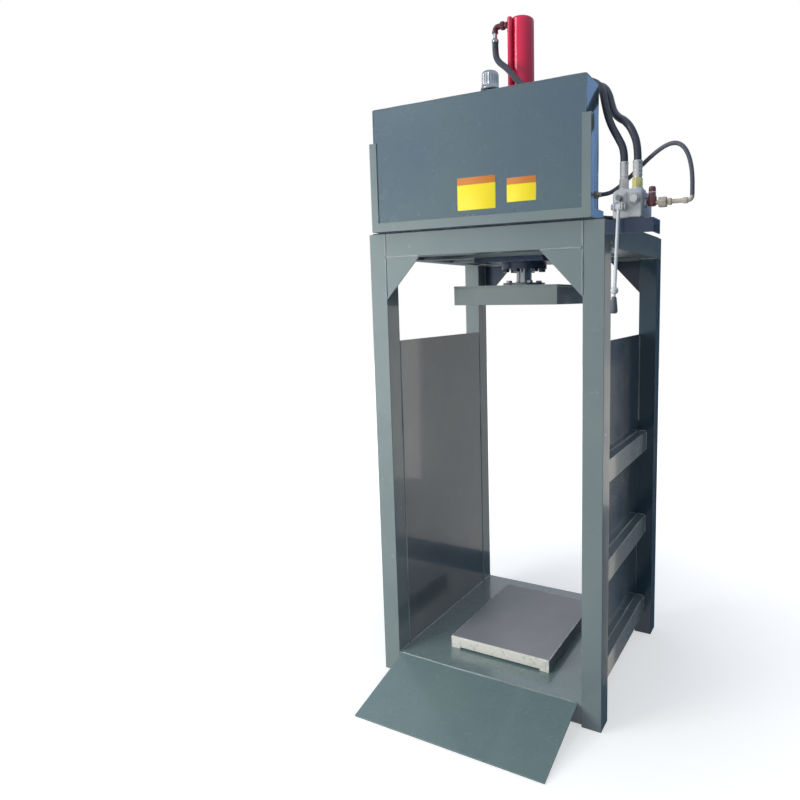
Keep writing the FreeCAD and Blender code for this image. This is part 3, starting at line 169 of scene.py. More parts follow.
def edge_wear_and_highlight_effect():
    """Mask of rubbed edges that also paints a highlight along them: where the rounded-over normal
    leaves the face's own, broken by noise.
    """
    tree, given, out = effect(
        "rubbed_and_highlit_edges",
        [("Vector", "Vector", None), ("Radius", "Float", 0.003), ("Amount", "Float", 1.0)],
        [("Mask", "Float")])
    rounded = add(tree, "Bevel", {"Radius": given["Radius"]}, samples=4)
    own = add(tree, "NewGeometry")
    match = dot(tree, rounded.outputs["Normal"], own.outputs["True Normal"])
    lean = ramp(tree, match, 0.995, 0.90, top=given["Amount"])
    broken = ramp(tree, noise(tree, given["Vector"], 70.0, 4.0), 0.42, 0.6)
    tree.links.new(reckon(tree, "MULTIPLY", lean, broken), out["Mask"])
    return tree


def dust_effect():
    """Mask of settled dust and scuffs: on faces that look up, in cloudy patches and fine specks."""
    tree, given, out = effect(
        "settled_dust", [("Vector", "Vector", None), ("Amount", "Float", 0.5)],
        [("Mask", "Float")])
    own = add(tree, "NewGeometry")
    split = add(tree, "SeparateXYZ", {"Vector": own.outputs["Normal"]})
    upward = ramp(tree, split.outputs["Z"], 0.2, 1.0, bottom=0.12)
    cloud = noise(tree, given["Vector"], 7.0, 6.0, 0.7)
    patch = ramp(tree, cloud, 0.4, 0.75, top=given["Amount"])
    tree.links.new(reckon(tree, "MULTIPLY", upward, patch), out["Mask"])
    return tree


def grain_effect():
    """Machined or drawn metal: noise stretched along one axis, for gloss and height."""
    tree, given, out = effect(
        "drawn_metal",
        [("Vector", "Vector", None), ("Stretch", "Vector", (1, 1, 1)), ("Scale", "Float", 60.0),
         ("Roughness", "Float", 0.3)],
        [("Roughness", "Float"), ("Height", "Float"), ("Tint", "Float")])
    pulled = add(tree, "VectorMath", {0: given["Vector"], 1: given["Stretch"]},
                 operation="MULTIPLY")
    lines = noise(tree, pulled.outputs["Vector"], given["Scale"], 5.0, 0.7)
    rough = reckon(tree, "MULTIPLY_ADD", lines, 0.22, given["Roughness"])
    tree.links.new(reckon(tree, "SUBTRACT", rough, 0.11), out["Roughness"])
    tree.links.new(lines, out["Height"])
    tree.links.new(noise(tree, given["Vector"], 12.0, 3.0), out["Tint"])
    return tree


ENAMEL = enamel_effect()
EDGE_WEAR_AND_HIGHLIGHT = edge_wear_and_highlight_effect()
DUST = dust_effect()
GRAIN = grain_effect()


def place_effect(tree, group, inputs):
    """One effect set into a material's tree with its own values."""
    made = tree.nodes.new("ShaderNodeGroup")
    made.node_tree = group
    feed(tree, made, inputs)
    return made.outputs


def blank(name):
    """Empty material: its tree, its Principled shader's inputs and Object coordinates."""
    material = bpy.data.materials.new(name)
    material.use_nodes = True
    tree = material.node_tree
    shader = tree.nodes["Principled BSDF"].inputs
    place = tree.nodes.new("ShaderNodeTexCoord").outputs["Object"]
    return material, tree, shader, place


def bump(tree, shader, height, distance):
    """Surface relief of a given depth."""
    relief = add(tree, "Bump", {"Height": height, "Distance": distance, "Strength": 1.0})
    tree.links.new(relief.outputs["Normal"], shader["Normal"])


def rgba(colour):
    """Colour with full opacity."""
    return (*colour, 1.0)


def sprayed(tree, place, colour, drift, roughness, peel_scale=260.0):
    """The enamel effect, with its colours, gloss and size of orange peel."""
    return place_effect(tree, ENAMEL, {"Vector": place, "Colour": rgba(colour),
                                       "Drift Colour": rgba(drift), "Roughness": roughness,
                                       "Peel Scale": peel_scale})


def enamel(name, colour, drift, bare_and_highlit=(0.32, 0.33, 0.33), roughness=0.24, coat=0.5, edge_wear_and_highlight=0.5,
           dust=0.3, peel=0.00012):
    """Glossy sprayed paint with drift of tone, rubbed edges that double as a painted edge highlight,
    and a little dust.
    """
    material, tree, shader, place = blank(name)
    paint = sprayed(tree, place, colour, drift, roughness)
    worn_and_highlit = place_effect(tree, EDGE_WEAR_AND_HIGHLIGHT, {"Vector": place, "Radius": 0.0025, "Amount": edge_wear_and_highlight})
    settled = place_effect(tree, DUST, {"Vector": place, "Amount": dust})
    # Edges take the lighter colour: rubbed paint, and a painted edge highlight.
    edge = mixed(tree, worn_and_highlit["Mask"], paint["Colour"], rgba(bare_and_highlit))
    dusty = mixed(tree, settled["Mask"], edge, (0.36, 0.35, 0.33, 1.0))
    dull = reckon(tree, "MULTIPLY_ADD", settled["Mask"], 0.45, paint["Roughness"])
    tree.links.new(dusty, shader["Base Color"])
    tree.links.new(dull, shader["Roughness"])
    shader["Coat Weight"].default_value = coat
    shader["Coat Roughness"].default_value = 0.06
    shader["Specular IOR Level"].default_value = 0.6
    bump(tree, shader, paint["Height"], peel)
    return material


def plated(name, colour, tint, roughness=0.3, stretch=(1, 1, 0.05), scale=300.0, depth=0.00005,
           metallic=1.0):
    """Bare or plated metal with drawn or turned grain and cloudy tint."""
    material, tree, shader, place = blank(name)
    grain = place_effect(tree, GRAIN, {"Vector": place, "Stretch": stretch, "Scale": scale,
                                       "Roughness": roughness})
    cloudy = ramp(tree, grain["Tint"], 0.35, 0.65)
    tree.links.new(mixed(tree, cloudy, rgba(colour), rgba(tint)), shader["Base Color"])
    tree.links.new(grain["Roughness"], shader["Roughness"])
    shader["Metallic"].default_value = metallic
    bump(tree, shader, grain["Height"], depth)
    return material


PORE_SCALE = 420.0
PORE_DEPTH = 0.00006


def moulded(name, colour, drift, roughness=0.5, coat=0.0):
    """Rubber or plastic: fine pores, faint bloom on the surface."""
    material, tree, shader, place = blank(name)
    surface = sprayed(tree, place, colour, drift, roughness, PORE_SCALE)
    tree.links.new(surface["Colour"], shader["Base Color"])
    tree.links.new(surface["Roughness"], shader["Roughness"])
    shader["Coat Weight"].default_value = coat
    bump(tree, shader, surface["Height"], PORE_DEPTH)
    return material


def bed_finish():
    """Grey primer on the bed; its edges are rubbed to bright steel that also serves as a painted
    highlight, and most of its front is rubbed to bright steel.
    """
    material, tree, shader, place = blank("bed_primer")
    front_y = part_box("pressing_bed")[0][1]
    paint = sprayed(tree, place, (0.235, 0.235, 0.26), (0.29, 0.285, 0.30), 0.36)
    worn_and_highlit = place_effect(tree, EDGE_WEAR_AND_HIGHLIGHT, {"Vector": place, "Radius": 0.006, "Amount": 1.6})
    split = add(tree, "SeparateXYZ", {"Vector": place})
    front = ramp(tree, split.outputs["Y"], front_y + 0.006, front_y + 0.001)
    patch = ramp(tree, noise(tree, place, 55.0, 5.0), 0.30, 0.44, bottom=0.6)
    face = reckon(tree, "MULTIPLY", front, patch)
    bare_and_highlit = reckon(tree, "MAXIMUM", face, worn_and_highlit["Mask"])
    tone = mixed(tree, bare_and_highlit, paint["Colour"], (1.0, 0.95, 0.83, 1))
    tree.links.new(tone, shader["Base Color"])
    tree.links.new(paint["Roughness"], shader["Roughness"])
    tree.links.new(reckon(tree, "MULTIPLY", bare_and_highlit, 0.25), shader["Metallic"])
    bump(tree, shader, paint["Height"], 0.0002)
    return material


def label_finish(strip_low):
    """Printed sheet: yellow field, orange-brown strip above the given height, no words."""
    material, tree, shader, place = blank("label_print")
    split = add(tree, "SeparateXYZ", {"Vector": place})
    above = reckon(tree, "GREATER_THAN", split.outputs["Z"], strip_low)
    yellow = mixed(tree, noise(tree, place, 30.0, 3.0), (0.93, 0.72, 0.012, 1),
                   (0.97, 0.80, 0.03, 1))
    tree.links.new(mixed(tree, above, yellow, (0.60, 0.20, 0.03, 1)), shader["Base Color"])
    shader["Roughness"].default_value = 0.35
    return material


FRAME_PAINT = enamel("frame_enamel", (0.196, 0.240, 0.232), (0.168, 0.216, 0.220), dust=0.05)
PANEL_PAINT = enamel("panel_enamel", (0.165, 0.185, 0.183), (0.125, 0.155, 0.162), roughness=0.2,
                     coat=0.8, peel=0.00022)
TANK_PAINT = enamel("tank_enamel", (0.098, 0.146, 0.164), (0.086, 0.134, 0.168), roughness=0.26,
                    dust=0.04)
# Darker, bluer copy of the panel enamel: painted shade for the right side panel and the back right
# post.
PAINTED_SHADE_ENAMEL = enamel("painted_shade_enamel", (0.022, 0.060, 0.086), (0.018, 0.050, 0.080), roughness=0.2,
                     coat=0.7, edge_wear_and_highlight=0.0, dust=0.0, peel=0.00001)
# Dark navy: painted shade for parts that lie in shadow under the top frame and at the back of the
# machine.
PAINTED_SHADE_NAVY = enamel("painted_shade_navy_enamel", (0.02, 0.035, 0.075), (0.03, 0.05, 0.085), roughness=0.22)
RED_PAINT = enamel("crimson_enamel", (0.86, 0.008, 0.070), (0.74, 0.008, 0.075),
                   bare_and_highlit=(0.72, 0.06, 0.12), roughness=0.18, coat=0.9, dust=0.05, peel=0.00008)
DARK_RED = enamel("dark_red_enamel", (0.13, 0.006, 0.02), (0.09, 0.005, 0.02), roughness=0.25,
                  bare_and_highlit=(0.3, 0.06, 0.08), dust=0.1)
BROWN_RED = enamel("brown_red_enamel", (0.20, 0.05, 0.055), (0.13, 0.03, 0.035), roughness=0.3)
MOTOR_PAINT = enamel("motor_enamel", (0.04, 0.065, 0.10), (0.05, 0.075, 0.11), roughness=0.34,
                     coat=0.2)
# Weld bead enamel made lighter than the frame: a painted highlight along each bead.
WELD_HIGHLIGHT_ENAMEL = enamel("weld_enamel_painted_highlight", (0.40, 0.45, 0.43), (0.15, 0.19, 0.195), roughness=0.3,
                    edge_wear_and_highlight=0.2, dust=0.1, peel=0.0003)
PLATEN_PAINT = enamel("platen_enamel", (0.205, 0.245, 0.235), (0.155, 0.195, 0.195), roughness=0.2,
                      coat=0.8)
FLOOR_PAINT = enamel("floor_enamel", (0.165, 0.232, 0.222), (0.140, 0.206, 0.208),
                     roughness=0.26, coat=0.6, edge_wear_and_highlight=0.9, dust=0.06)
BED_PAINT = bed_finish()
CHROME = plated("polished_chrome", (0.72, 0.73, 0.73), (0.58, 0.60, 0.61), roughness=0.2,
                depth=0.00001)
STEEL = plated("turned_steel", (0.50, 0.50, 0.50), (0.40, 0.40, 0.41), roughness=0.34)
PALE_STEEL = plated("pale_zinc_rod", (0.84, 0.86, 0.85), (0.74, 0.77, 0.77), roughness=0.36,
                    metallic=0.4)
ZINC = plated("clear_zinc", (0.84, 0.80, 0.79), (0.70, 0.68, 0.65), roughness=0.3,
              depth=0.00001, metallic=0.5)
GOLD_ZINC = plated("yellow_zinc", (0.92, 0.86, 0.34), (0.78, 0.72, 0.28), roughness=0.28,
                   depth=0.00001, metallic=0.45)
OLD_ZINC = plated("brown_zinc", (0.74, 0.66, 0.54), (0.55, 0.44, 0.36), roughness=0.34,
                  metallic=0.45)
CASTING = plated("silver_casting", (0.80, 0.80, 0.79), (0.58, 0.59, 0.58), roughness=0.36,
                 stretch=(1, 1, 1), scale=160.0, depth=0.0004, metallic=0.5)
CAST_ALUMINIUM = plated("cast_aluminium", (0.58, 0.58, 0.58), (0.46, 0.46, 0.47), roughness=0.42,
                        stretch=(1, 1, 1), scale=220.0, depth=0.0003)
RUBBER = moulded("hose_rubber", (0.040, 0.045, 0.060), (0.055, 0.060, 0.078), roughness=0.36,
                 coat=0.35)
THIN_RUBBER = moulded("thin_hose_rubber", (0.115, 0.122, 0.150), (0.085, 0.092, 0.12), roughness=0.36,
                      coat=0.3)
BLACK_PLASTIC = moulded("black_plastic", (0.02, 0.02, 0.022), (0.03, 0.03, 0.032))
KNOB_PLASTIC = moulded("knob_plastic", (0.11, 0.125, 0.14), (0.15, 0.165, 0.175), roughness=0.35,
                       coat=0.4)


# ---- surfaces ---------------------------------------------------------------

def skin(grid, loop=False, ends=True):
    """Quads over rows of points that close round; loop joins the last row to the first."""
    rows, columns = grid.shape[:2]
    index = np.arange(rows * columns).reshape(rows, columns)
    upper = np.roll(index, -1, axis=0) if loop else index[1:]
    lower = index if loop else index[:-1]
    quads = np.stack([lower, np.roll(lower, -1, 1), np.roll(upper, -1, 1), upper], axis=-1)
    faces = quads.reshape(-1, 4).tolist()
    if ends and not loop:
        faces += [index[0][::-1].tolist(), index[-1].tolist()]
    return grid.reshape(-1, 3), faces


def piece(name, parts, material, body, nodes=(), sharp=35.0):
    """One object from several closed skins, with doubles merged and faces turned outwards."""
    points = []
    faces = []
    start = 0
    for part_points, part_faces in parts:
        points.append(part_points)
        faces += [[corner + start for corner in face] for face in part_faces]
        start += len(part_points)
    mesh = bpy.data.meshes.new(name)
    mesh.from_pydata((np.vstack(points) * MM).tolist(), [], faces)
    work = bmesh.new()
    work.from_mesh(mesh)
    bmesh.ops.remove_doubles(work, verts=work.verts, dist=2e-6)
    bmesh.ops.dissolve_degenerate(work, dist=1e-6, edges=work.edges)
    bmesh.ops.recalc_face_normals(work, faces=work.faces)
    work.to_mesh(mesh)
    work.free()
    mesh.shade_smooth()
    mesh.set_sharp_from_angle(angle=math.radians(sharp))
    finish_piece(name, mesh, material, body, nodes)


def finish_piece(name, mesh, material, body, nodes):
    """Puts a mesh in the scene, gives it its finish and its body, and hides the nodes it stands for.
    """
    made = bpy.data.objects.new(name, mesh)
    scene.collection.objects.link(made)
    made.data.materials.clear()
    made.data.materials.append(material)
    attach(made, body)
    if nodes:
        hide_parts(*nodes)
    return made


def across(direction):
    """Two unit vectors square to a direction and to each other."""
    ahead = np.array(direction, float) / np.linalg.norm(direction)
    spare = np.array([0.0, 0.0, 1.0]) if abs(ahead[2]) < 0.9 else np.array([1.0, 0.0, 0.0])
    side = np.cross(spare, ahead)
    side /= np.linalg.norm(side)
    return ahead, side, np.cross(ahead, side)


def turned(profile, base, direction=(0, 0, 1), count=48, shape=None, loop=False):
    """Surface of revolution: each (radius, height) goes once round the axis; shape may trim it."""
    radius, height = np.array(profile, float).T[:, :, None]
    angle = np.linspace(0, 2 * np.pi, count, endpoint=False)[None, :]
    radius = radius + 0 * angle
    if shape:
        radius = shape(radius, angle, height)
    ahead, side, top = across(direction)
    grid = (np.array(base, float) + height[..., None] * ahead
            + (radius * np.cos(angle))[..., None] * side
            + (radius * np.sin(angle))[..., None] * top)
    return skin(grid, loop=loop, ends=not loop)


def disc(radius, length, base, direction=(0, 0, 1), count=32):
    """Plain round bar."""
    return turned([(0, 0), (radius, 0), (radius, length), (0, length)], base, direction, count)


def hexed(flats):
    """Trims a radius to a hexagon of the given width over its flats."""
    def shape(radius, angle, height):
        """The lesser of the radius and the distance to the nearest flat."""
        corner = np.mod(angle, np.pi / 3) - np.pi / 6
        return np.minimum(radius, flats / 2 / np.cos(corner))
    return shape


def nut(flats, length, base, direction=(0, 0, 1)):
    """Hexagon with both ends chamfered by a cone."""
    corner = flats / math.sqrt(3)
    face = flats / 2 * 0.98
    slope = (corner - face) * 0.6
    return turned([(0, 0), (face, 0), (corner, slope), (corner, length - slope), (face, length),
                   (0, length)], base, direction, count=72, shape=hexed(flats))


def ferrule(outer, length, base, direction=(0, 0, 1)):
    """Crimped hose ferrule: collar, then three bands pressed in at eight places round it."""
    def shape(radius, angle, height):
        """Each band is 3.5 % of the radius deep, and its eight dents 5 % more."""
        place = np.clip((height / length - 0.22) / 0.66, 0, 1)
        band = np.clip(2.2 * np.abs(np.sin(3 * np.pi * place)), 0, 1) * (place > 0) * (place < 1)
        return radius * (1 - 0.05 * band * (0.5 + 0.5 * np.cos(8 * angle)) - 0.035 * band)
    height = np.linspace(0.14, 0.97, 40) * length
    body = [(outer, h) for h in height]
    return turned([(0, 0), (outer * 0.86, 0), (outer * 0.9, length * 0.03),
                   (outer * 0.9, length * 0.12)] + body
                  + [(outer * 0.95, length), (0, length)], base, direction, count=64, shape=shape)


def carried(path, radius, count=24, spare=(0, 0, 1)):
    """Round section carried along a path; radius is one number or one for each path point."""
    path = np.array(path, float)
    ahead = np.gradient(path, axis=0)
    ahead /= np.linalg.norm(ahead, axis=1, keepdims=True)
    side = np.cross(ahead, np.array(spare, float))
    side /= np.linalg.norm(side, axis=1, keepdims=True)
    top = np.cross(side, ahead)
    angle = np.linspace(0, 2 * np.pi, count, endpoint=False)
    ring = (np.cos(angle)[None, :, None] * side[:, None, :]
            + np.sin(angle)[None, :, None] * top[:, None, :])
    size = np.broadcast_to(np.array(radius, float), (len(path),))
    return skin(path[:, None, :] + ring * size[:, None, None])


def bend(centre, start, end, radius, steps=14):
    """Quarter arc about a centre from the direction start to the direction end."""
    turn = np.linspace(0, np.pi / 2, steps)[:, None]
    return (np.array(centre, float) + radius * (np.cos(turn) * np.array(start, float)
                                                + np.sin(turn) * np.array(end, float)))


def rounded_block(low, high, radius, steps=4):
    """Block with rounded corners: a ball cut into eight and moved out to the corners."""
    low, high = np.array(low, float), np.array(high, float)
    quarter = np.linspace(0, np.pi / 2, steps + 1)
    across_angle = (np.arange(4)[:, None] * np.pi / 2 + quarter).ravel()[None, :]
    down_angle = np.concatenate([quarter, quarter + np.pi / 2])[:, None]
    corner = np.repeat(np.arange(4), steps + 1)
    sign_x = np.where((corner == 0) | (corner == 3), 1, -1)[None, :] + 0 * down_angle
    sign_y = np.where(corner < 2, 1, -1)[None, :] + 0 * down_angle
    sign_z = np.repeat([1, -1], steps + 1)[:, None] + 0 * across_angle
    ball = np.stack([np.sin(down_angle) * np.cos(across_angle),
                     np.sin(down_angle) * np.sin(across_angle),
                     np.cos(down_angle) + 0 * across_angle], axis=-1)
    sign = np.stack([sign_x, sign_y, sign_z], axis=-1)
    reach = (high - low) / 2 - radius
    return skin((low + high) / 2 + sign * reach + radius * ball)


def weld(start, end, width, seed):
    """Hand-laid bead: round section whose size pulses with each puddle and wanders a little."""
    draw = np.random.default_rng(seed)
    start, end = np.array(start, float), np.array(end, float)
    span = np.linalg.norm(end - start)
    count = max(int(span / 1.6), 6)
    along = np.linspace(0, 1, count)
    ahead, side, top = across(end - start)
    puddle = np.abs(np.sin(np.pi * along * span / 6.5))
    slow = np.interp(along, np.linspace(0, 1, 9), draw.normal(0, 0.5, 9))
    sway = np.interp(along, np.linspace(0, 1, 13), draw.normal(0, 0.35, 13))
    size = width * (0.82 + 0.24 * puddle) + 0.5 * slow
    taper = np.clip(np.minimum(along, 1 - along) * span / 3.0, 0.35, 1)
    path = start + along[:, None] * (end - start) + sway[:, None] * (side + top)
    return carried(path, size * taper, count=10, spare=side + 0.13 * top)


# ---- CAD pieces with rounded edges ------------------------------------------

EDGE_ANGLE = math.radians(32.0)


def frame_body(node):
    """Name of the body that a CAD node belongs to."""
    bodies = frame["record"]["behaviour"]["bodies"]
    return next(name for name, members in bodies.items() if node in members)


def dressed(node, material, edge, segments=2):
    """Copy of a CAD node with its seams closed and its edges rounded over."""
    mesh = frame["nodes"][node].data.copy()
    work = bmesh.new()
    work.from_mesh(mesh)
    bmesh.ops.remove_doubles(work, verts=work.verts, dist=5e-6)
    bmesh.ops.dissolve_limit(work, angle_limit=math.radians(0.4), verts=work.verts,
                             edges=work.edges)
    work.to_mesh(mesh)
    work.free()
    mesh.shade_smooth()
    mesh.set_sharp_from_angle(angle=EDGE_ANGLE)
    made = finish_piece(node + "_finished", mesh, material, frame_body(node),
                        [node])
    round_over = made.modifiers.new("round_over", "BEVEL")
    round_over.width = edge * MM
    round_over.segments = segments
    round_over.limit_method = "ANGLE"
    round_over.angle_limit = EDGE_ANGLE
    round_over.harden_normals = True


TUBES = ["post_front_left", "post_front_right", "post_back_left", "post_back_right",
         "top_rail_left", "top_rail_right", "top_rail_front", "top_rail_back",
         "bottom_rail_front", "bottom_rail_back", "cylinder_beam_front", "cylinder_beam_back"]
for tube in TUBES:
    # The back right post takes the painted-shade enamel.
    paint = PAINTED_SHADE_ENAMEL if tube == "post_back_right" else FRAME_PAINT
    dressed(tube, paint, 1.4, segments=3)
# The right side panel, back gussets, cylinder mount plate, gland and its bolts, deck plate and valve
# bracket take painted-shade enamels.
for node, material, edge in (
        ("tube_caps", FRAME_PAINT, 0.5), ("gussets_front", FRAME_PAINT, 0.7),
        ("gussets_back", PAINTED_SHADE_NAVY, 0.7), ("side_panel_left", PANEL_PAINT, 0.5),
        ("side_panel_right", PAINTED_SHADE_ENAMEL, 0.5), ("side_ribs_left", FRAME_PAINT, 1.4),
        ("side_ribs_right", FRAME_PAINT, 1.4), ("floor_plate", FLOOR_PAINT, 0.8),
        ("loading_ramp", FLOOR_PAINT, 0.8), ("pressing_bed", BED_PAINT, 1.2),
        ("cylinder_mount_plate", PAINTED_SHADE_NAVY, 1.2), ("cylinder_gland", PAINTED_SHADE_NAVY, 1.0),
        ("gland_bolts", PAINTED_SHADE_NAVY, 0.6), ("platen_pan", PLATEN_PAINT, 1.6),
        ("platen_lid", PLATEN_PAINT, 1.0), ("rod_flange", STEEL, 1.0),
        ("rod_flange_bolts", ZINC, 0.6), ("deck_plate", PAINTED_SHADE_NAVY, 0.8),
        ("tank_cradle", FRAME_PAINT, 0.6), ("oil_tank", TANK_PAINT, 1.4),
        ("fan_cover", BLACK_PLASTIC, 0.8), ("bell_housing", CAST_ALUMINIUM, 1.2),
        ("pump_body", CAST_ALUMINIUM, 3.0), ("valve_bracket", PAINTED_SHADE_NAVY, 1.0),
        ("valve_lever", PALE_STEEL, 0.8), ("valve_spool", STEEL, 0.5),
        ("cable_gland", BLACK_PLASTIC, 0.6)):
    dressed(node, material, edge)
for node, material in (("motor_rotor", STEEL), ("pump_gear_drive", STEEL),
                       ("pump_gear_idler", STEEL), ("ram_piston", STEEL)):
    frame["nodes"][node].data.materials.clear()
    frame["nodes"][node].data.materials.append(material)


# ---- hoses ------------------------------------------------------------------

SIDE_ROUTE = [
    (-0.0755, -0.0407, 2.046), (-0.0755, -0.0407, 2.022), (-0.0705, -0.0435, 1.998),
    (-0.054, -0.0515, 1.9785), (-0.0295, -0.0645, 1.9595), (-0.004, -0.079, 1.936),
    (0.019, -0.092, 1.91), (0.046, -0.105, 1.882), (0.083, -0.12, 1.86), (0.126, -0.137, 1.846),
    (0.17, -0.153, 1.837), (0.214, -0.17, 1.832), (0.256, -0.185, 1.831), (0.293, -0.2, 1.828),
    (0.322, -0.213, 1.812), (0.341, -0.228, 1.786), (0.351, -0.242, 1.752),
    (0.365, -0.259, 1.712), (0.381, -0.274, 1.678), (0.402, -0.286, 1.645),
    (0.4195, -0.29, 1.613), (0.4195, -0.29, 1.583),
]
REAR_ROUTE = [
    (-0.0259, 0.0508, 2.046), (-0.0259, 0.0508, 2.012), (-0.0162, 0.0568, 1.9676),
    (0.0048, 0.0617, 1.9284), (0.0344, 0.0591, 1.8966), (0.0686, 0.0473, 1.8732),
    (0.1046, 0.0281, 1.8573), (0.1412, 0.0032, 1.8468), (0.1778, -0.0259, 1.8394),
    (0.2134, -0.0577, 1.836), (0.2476, -0.091, 1.834), (0.279, -0.124, 1.833),
    (0.308, -0.155, 1.826), (0.333, -0.183, 1.808), (0.3505, -0.201, 1.783),
    (0.362, -0.217, 1.752), (0.375, -0.234, 1.724), (0.393, -0.2515, 1.7045),
    (0.415, -0.27, 1.69), (0.437, -0.287, 1.664), (0.4545, -0.29, 1.622), (0.4545, -0.29, 1.583),
]
RETURN_ROUTE = [
    (0.592, -0.29, 1.486), (0.592, -0.29, 1.506), (0.5911, -0.29, 1.5316),
    (0.5879, -0.2895, 1.5573), (0.5814, -0.2881, 1.5818), (0.5706, -0.2856, 1.6028),
    (0.5548, -0.282, 1.6163), (0.5349, -0.2774, 1.6192), (0.5133, -0.2725, 1.6129),
    (0.4916, -0.2679, 1.6006), (0.4708, -0.2643, 1.5857), (0.4509, -0.262, 1.5695),
    (0.4315, -0.2613, 1.5531), (0.4123, -0.263, 1.5368), (0.3929, -0.2666, 1.5212),
    (0.372, -0.27, 1.51), (0.354, -0.27, 1.51),
]
PRESSURE_ROUTE = [
    (0.052, 0.126, 1.526), (0.052, 0.0803, 1.526), (0.0681, 0.0439, 1.5219),
    (0.0981, 0.0155, 1.5146), (0.139, -0.0066, 1.5053), (0.1875, -0.0244, 1.4953),
    (0.2401, -0.0399, 1.4855), (0.2934, -0.0554, 1.4764), (0.3435, -0.0729, 1.4686),
    (0.3868, -0.0945, 1.4625), (0.4193, -0.1223, 1.4582), (0.437, -0.1583, 1.456),
    (0.437, -0.204, 1.456),
]


def hose(name, node, route, diameter, material=RUBBER):
    """Rubber hose: one smooth spline with the route's points as its control points."""
    curve = bpy.data.curves.new(name, "CURVE")
    curve.dimensions = "3D"
    spline = curve.splines.new("NURBS")
    spline.points.add(len(route) - 1)
    spline.points.foreach_set("co", np.hstack([route, np.ones((len(route), 1))]).ravel())
    spline.order_u = 3
    spline.use_endpoint_u = True
    spline.resolution_u = 10
    curve.bevel_depth = diameter / 2
    curve.bevel_resolution = 6
    curve.use_fill_caps = True
    curve.materials.append(material)
    made = bpy.data.objects.new(name, curve)
    scene.collection.objects.link(made)
    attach(made, "frame")
    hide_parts(node)


hose("ram_hose_from_side", "ram_hose_side", SIDE_ROUTE, 0.020)
hose("ram_hose_from_rear", "ram_hose_rear", REAR_ROUTE, 0.020)
hose("thin_return_hose", "return_hose", RETURN_ROUTE, 0.011, THIN_RUBBER)
hose("pump_hose", "pressure_hose", PRESSURE_ROUTE, 0.014)


# ---- cylinder, elbows and breather ------------------------------------------

DOWN = (0, 0, -1)
FORWARD = (0, -1, 0)
BACKWARD = (0, 1, 0)
RIGHTWARD = (1, 0, 0)
LEFTWARD = (-1, 0, 0)
RAM_AXIS = (0, 0, 0)
BARREL_FACE = 38.3
PORT_HEIGHT = 2093.0
SIDE_PORT = np.array([-75.5, -40.7, 0])


def outward(degrees):
    """Level direction at an angle round the ram's axis."""
    angle = math.radians(degrees)
    return np.array([math.cos(angle), math.sin(angle), 0])


def build_cylinder():
    """Barrel, domed end cap, transfer pipe with its stub, chromed rod."""
    piece("barrel_skin", [turned([(32.6, 1354), (38, 1354), (38, 2089), (32.6, 2089)],
                                 RAM_AXIS, count=96, loop=True)],
          RED_PAINT, "frame", ["cylinder_barrel"])
    piece("end_cap_skin", [turned([(0, 2087), (32.5, 2087), (32.5, 2089), (38, 2089),
                                   (38, 2110), (37.6, 2112.6), (36.2, 2115), (34, 2117),
                                   (31, 2118.4), (27, 2118.9), (12, 2119), (0, 2119)],
                                  RAM_AXIS, count=96)],
          RED_PAINT, "frame", ["cylinder_end_cap"], sharp=50)
    out = outward(240)
    piece("transfer_pipe_skin",
          [turned([(0, 1424), (8, 1424), (8, 2066), (8.7, 2070), (8.7, 2108), (7.8, 2112.2),
                   (5.4, 2114.6), (0, 2115)], 47.0 * out, count=40),
           disc(7, 8.7, BARREL_FACE * out + (0, 0, 1432), out)],
          RED_PAINT, "frame", ["transfer_pipe"], sharp=50)
    piece("rod_skin", [turned([(0, 1290), (24.4, 1290), (25, 1290.6), (25, 2040), (24, 2044),
                               (0, 2044)], RAM_AXIS, count=96)],
          CHROME, "ram", ["ram_rod"])


def build_elbows():
    """Two swivel elbows on the cylinder's ports, with the ends of their hoses."""
    side_x, side_y = SIDE_PORT[:2]
    curve = bend((side_x + 11, side_y, PORT_HEIGHT - 11), (0, 0, 1), LEFTWARD, 11)
    run = np.vstack([[(-42, side_y, PORT_HEIGHT)], [(-56, side_y, PORT_HEIGHT)], curve,
                     [(side_x, side_y, PORT_HEIGHT - 13)]])
    piece("side_elbow", [
        turned([(0, 0), (10.6, 0), (9.4, 5), (8.4, 10), (8, 14), (0, 14)],
               (-31, side_y, PORT_HEIGHT - 1), LEFTWARD, count=36),
        nut(22, 13, (-42, side_y, PORT_HEIGHT), LEFTWARD),
        carried(run, 8.6, spare=BACKWARD),
        disc(9.8, 6, (side_x, side_y, PORT_HEIGHT - 12), DOWN, count=36)],
        DARK_RED, "frame", ["cylinder_elbows"])
    out = outward(117)
    port = 57 * out + (0, 0, PORT_HEIGHT)
    curve = bend(port - 10 * out - (0, 0, 10), (0, 0, 1), out, 10)
    run = np.vstack([[BARREL_FACE * out + (0, 0, PORT_HEIGHT)], curve, [port - (0, 0, 12)]])
    piece("rear_elbow", [
        carried(run, 8.6, spare=np.cross(out, (0, 0, 1))),
        nut(22, 8, BARREL_FACE * out + (0, 0, PORT_HEIGHT), out),
        disc(9.8, 6, port - (0, 0, 12), DOWN, count=36)],
        DARK_RED, "frame", ["cylinder_elbows"])
    piece("elbow_ferrules", [
        turned([(0, 0), (6.5, 0), (6.5, 20), (10, 24), (11, 26), (11, 33), (10, 34), (0, 34)],
               place + (0, 0, PORT_HEIGHT - 13), DOWN, count=36)
        for place in (SIDE_PORT, port * (1, 1, 0))],
        CHROME, "frame", ["cylinder_elbows"])


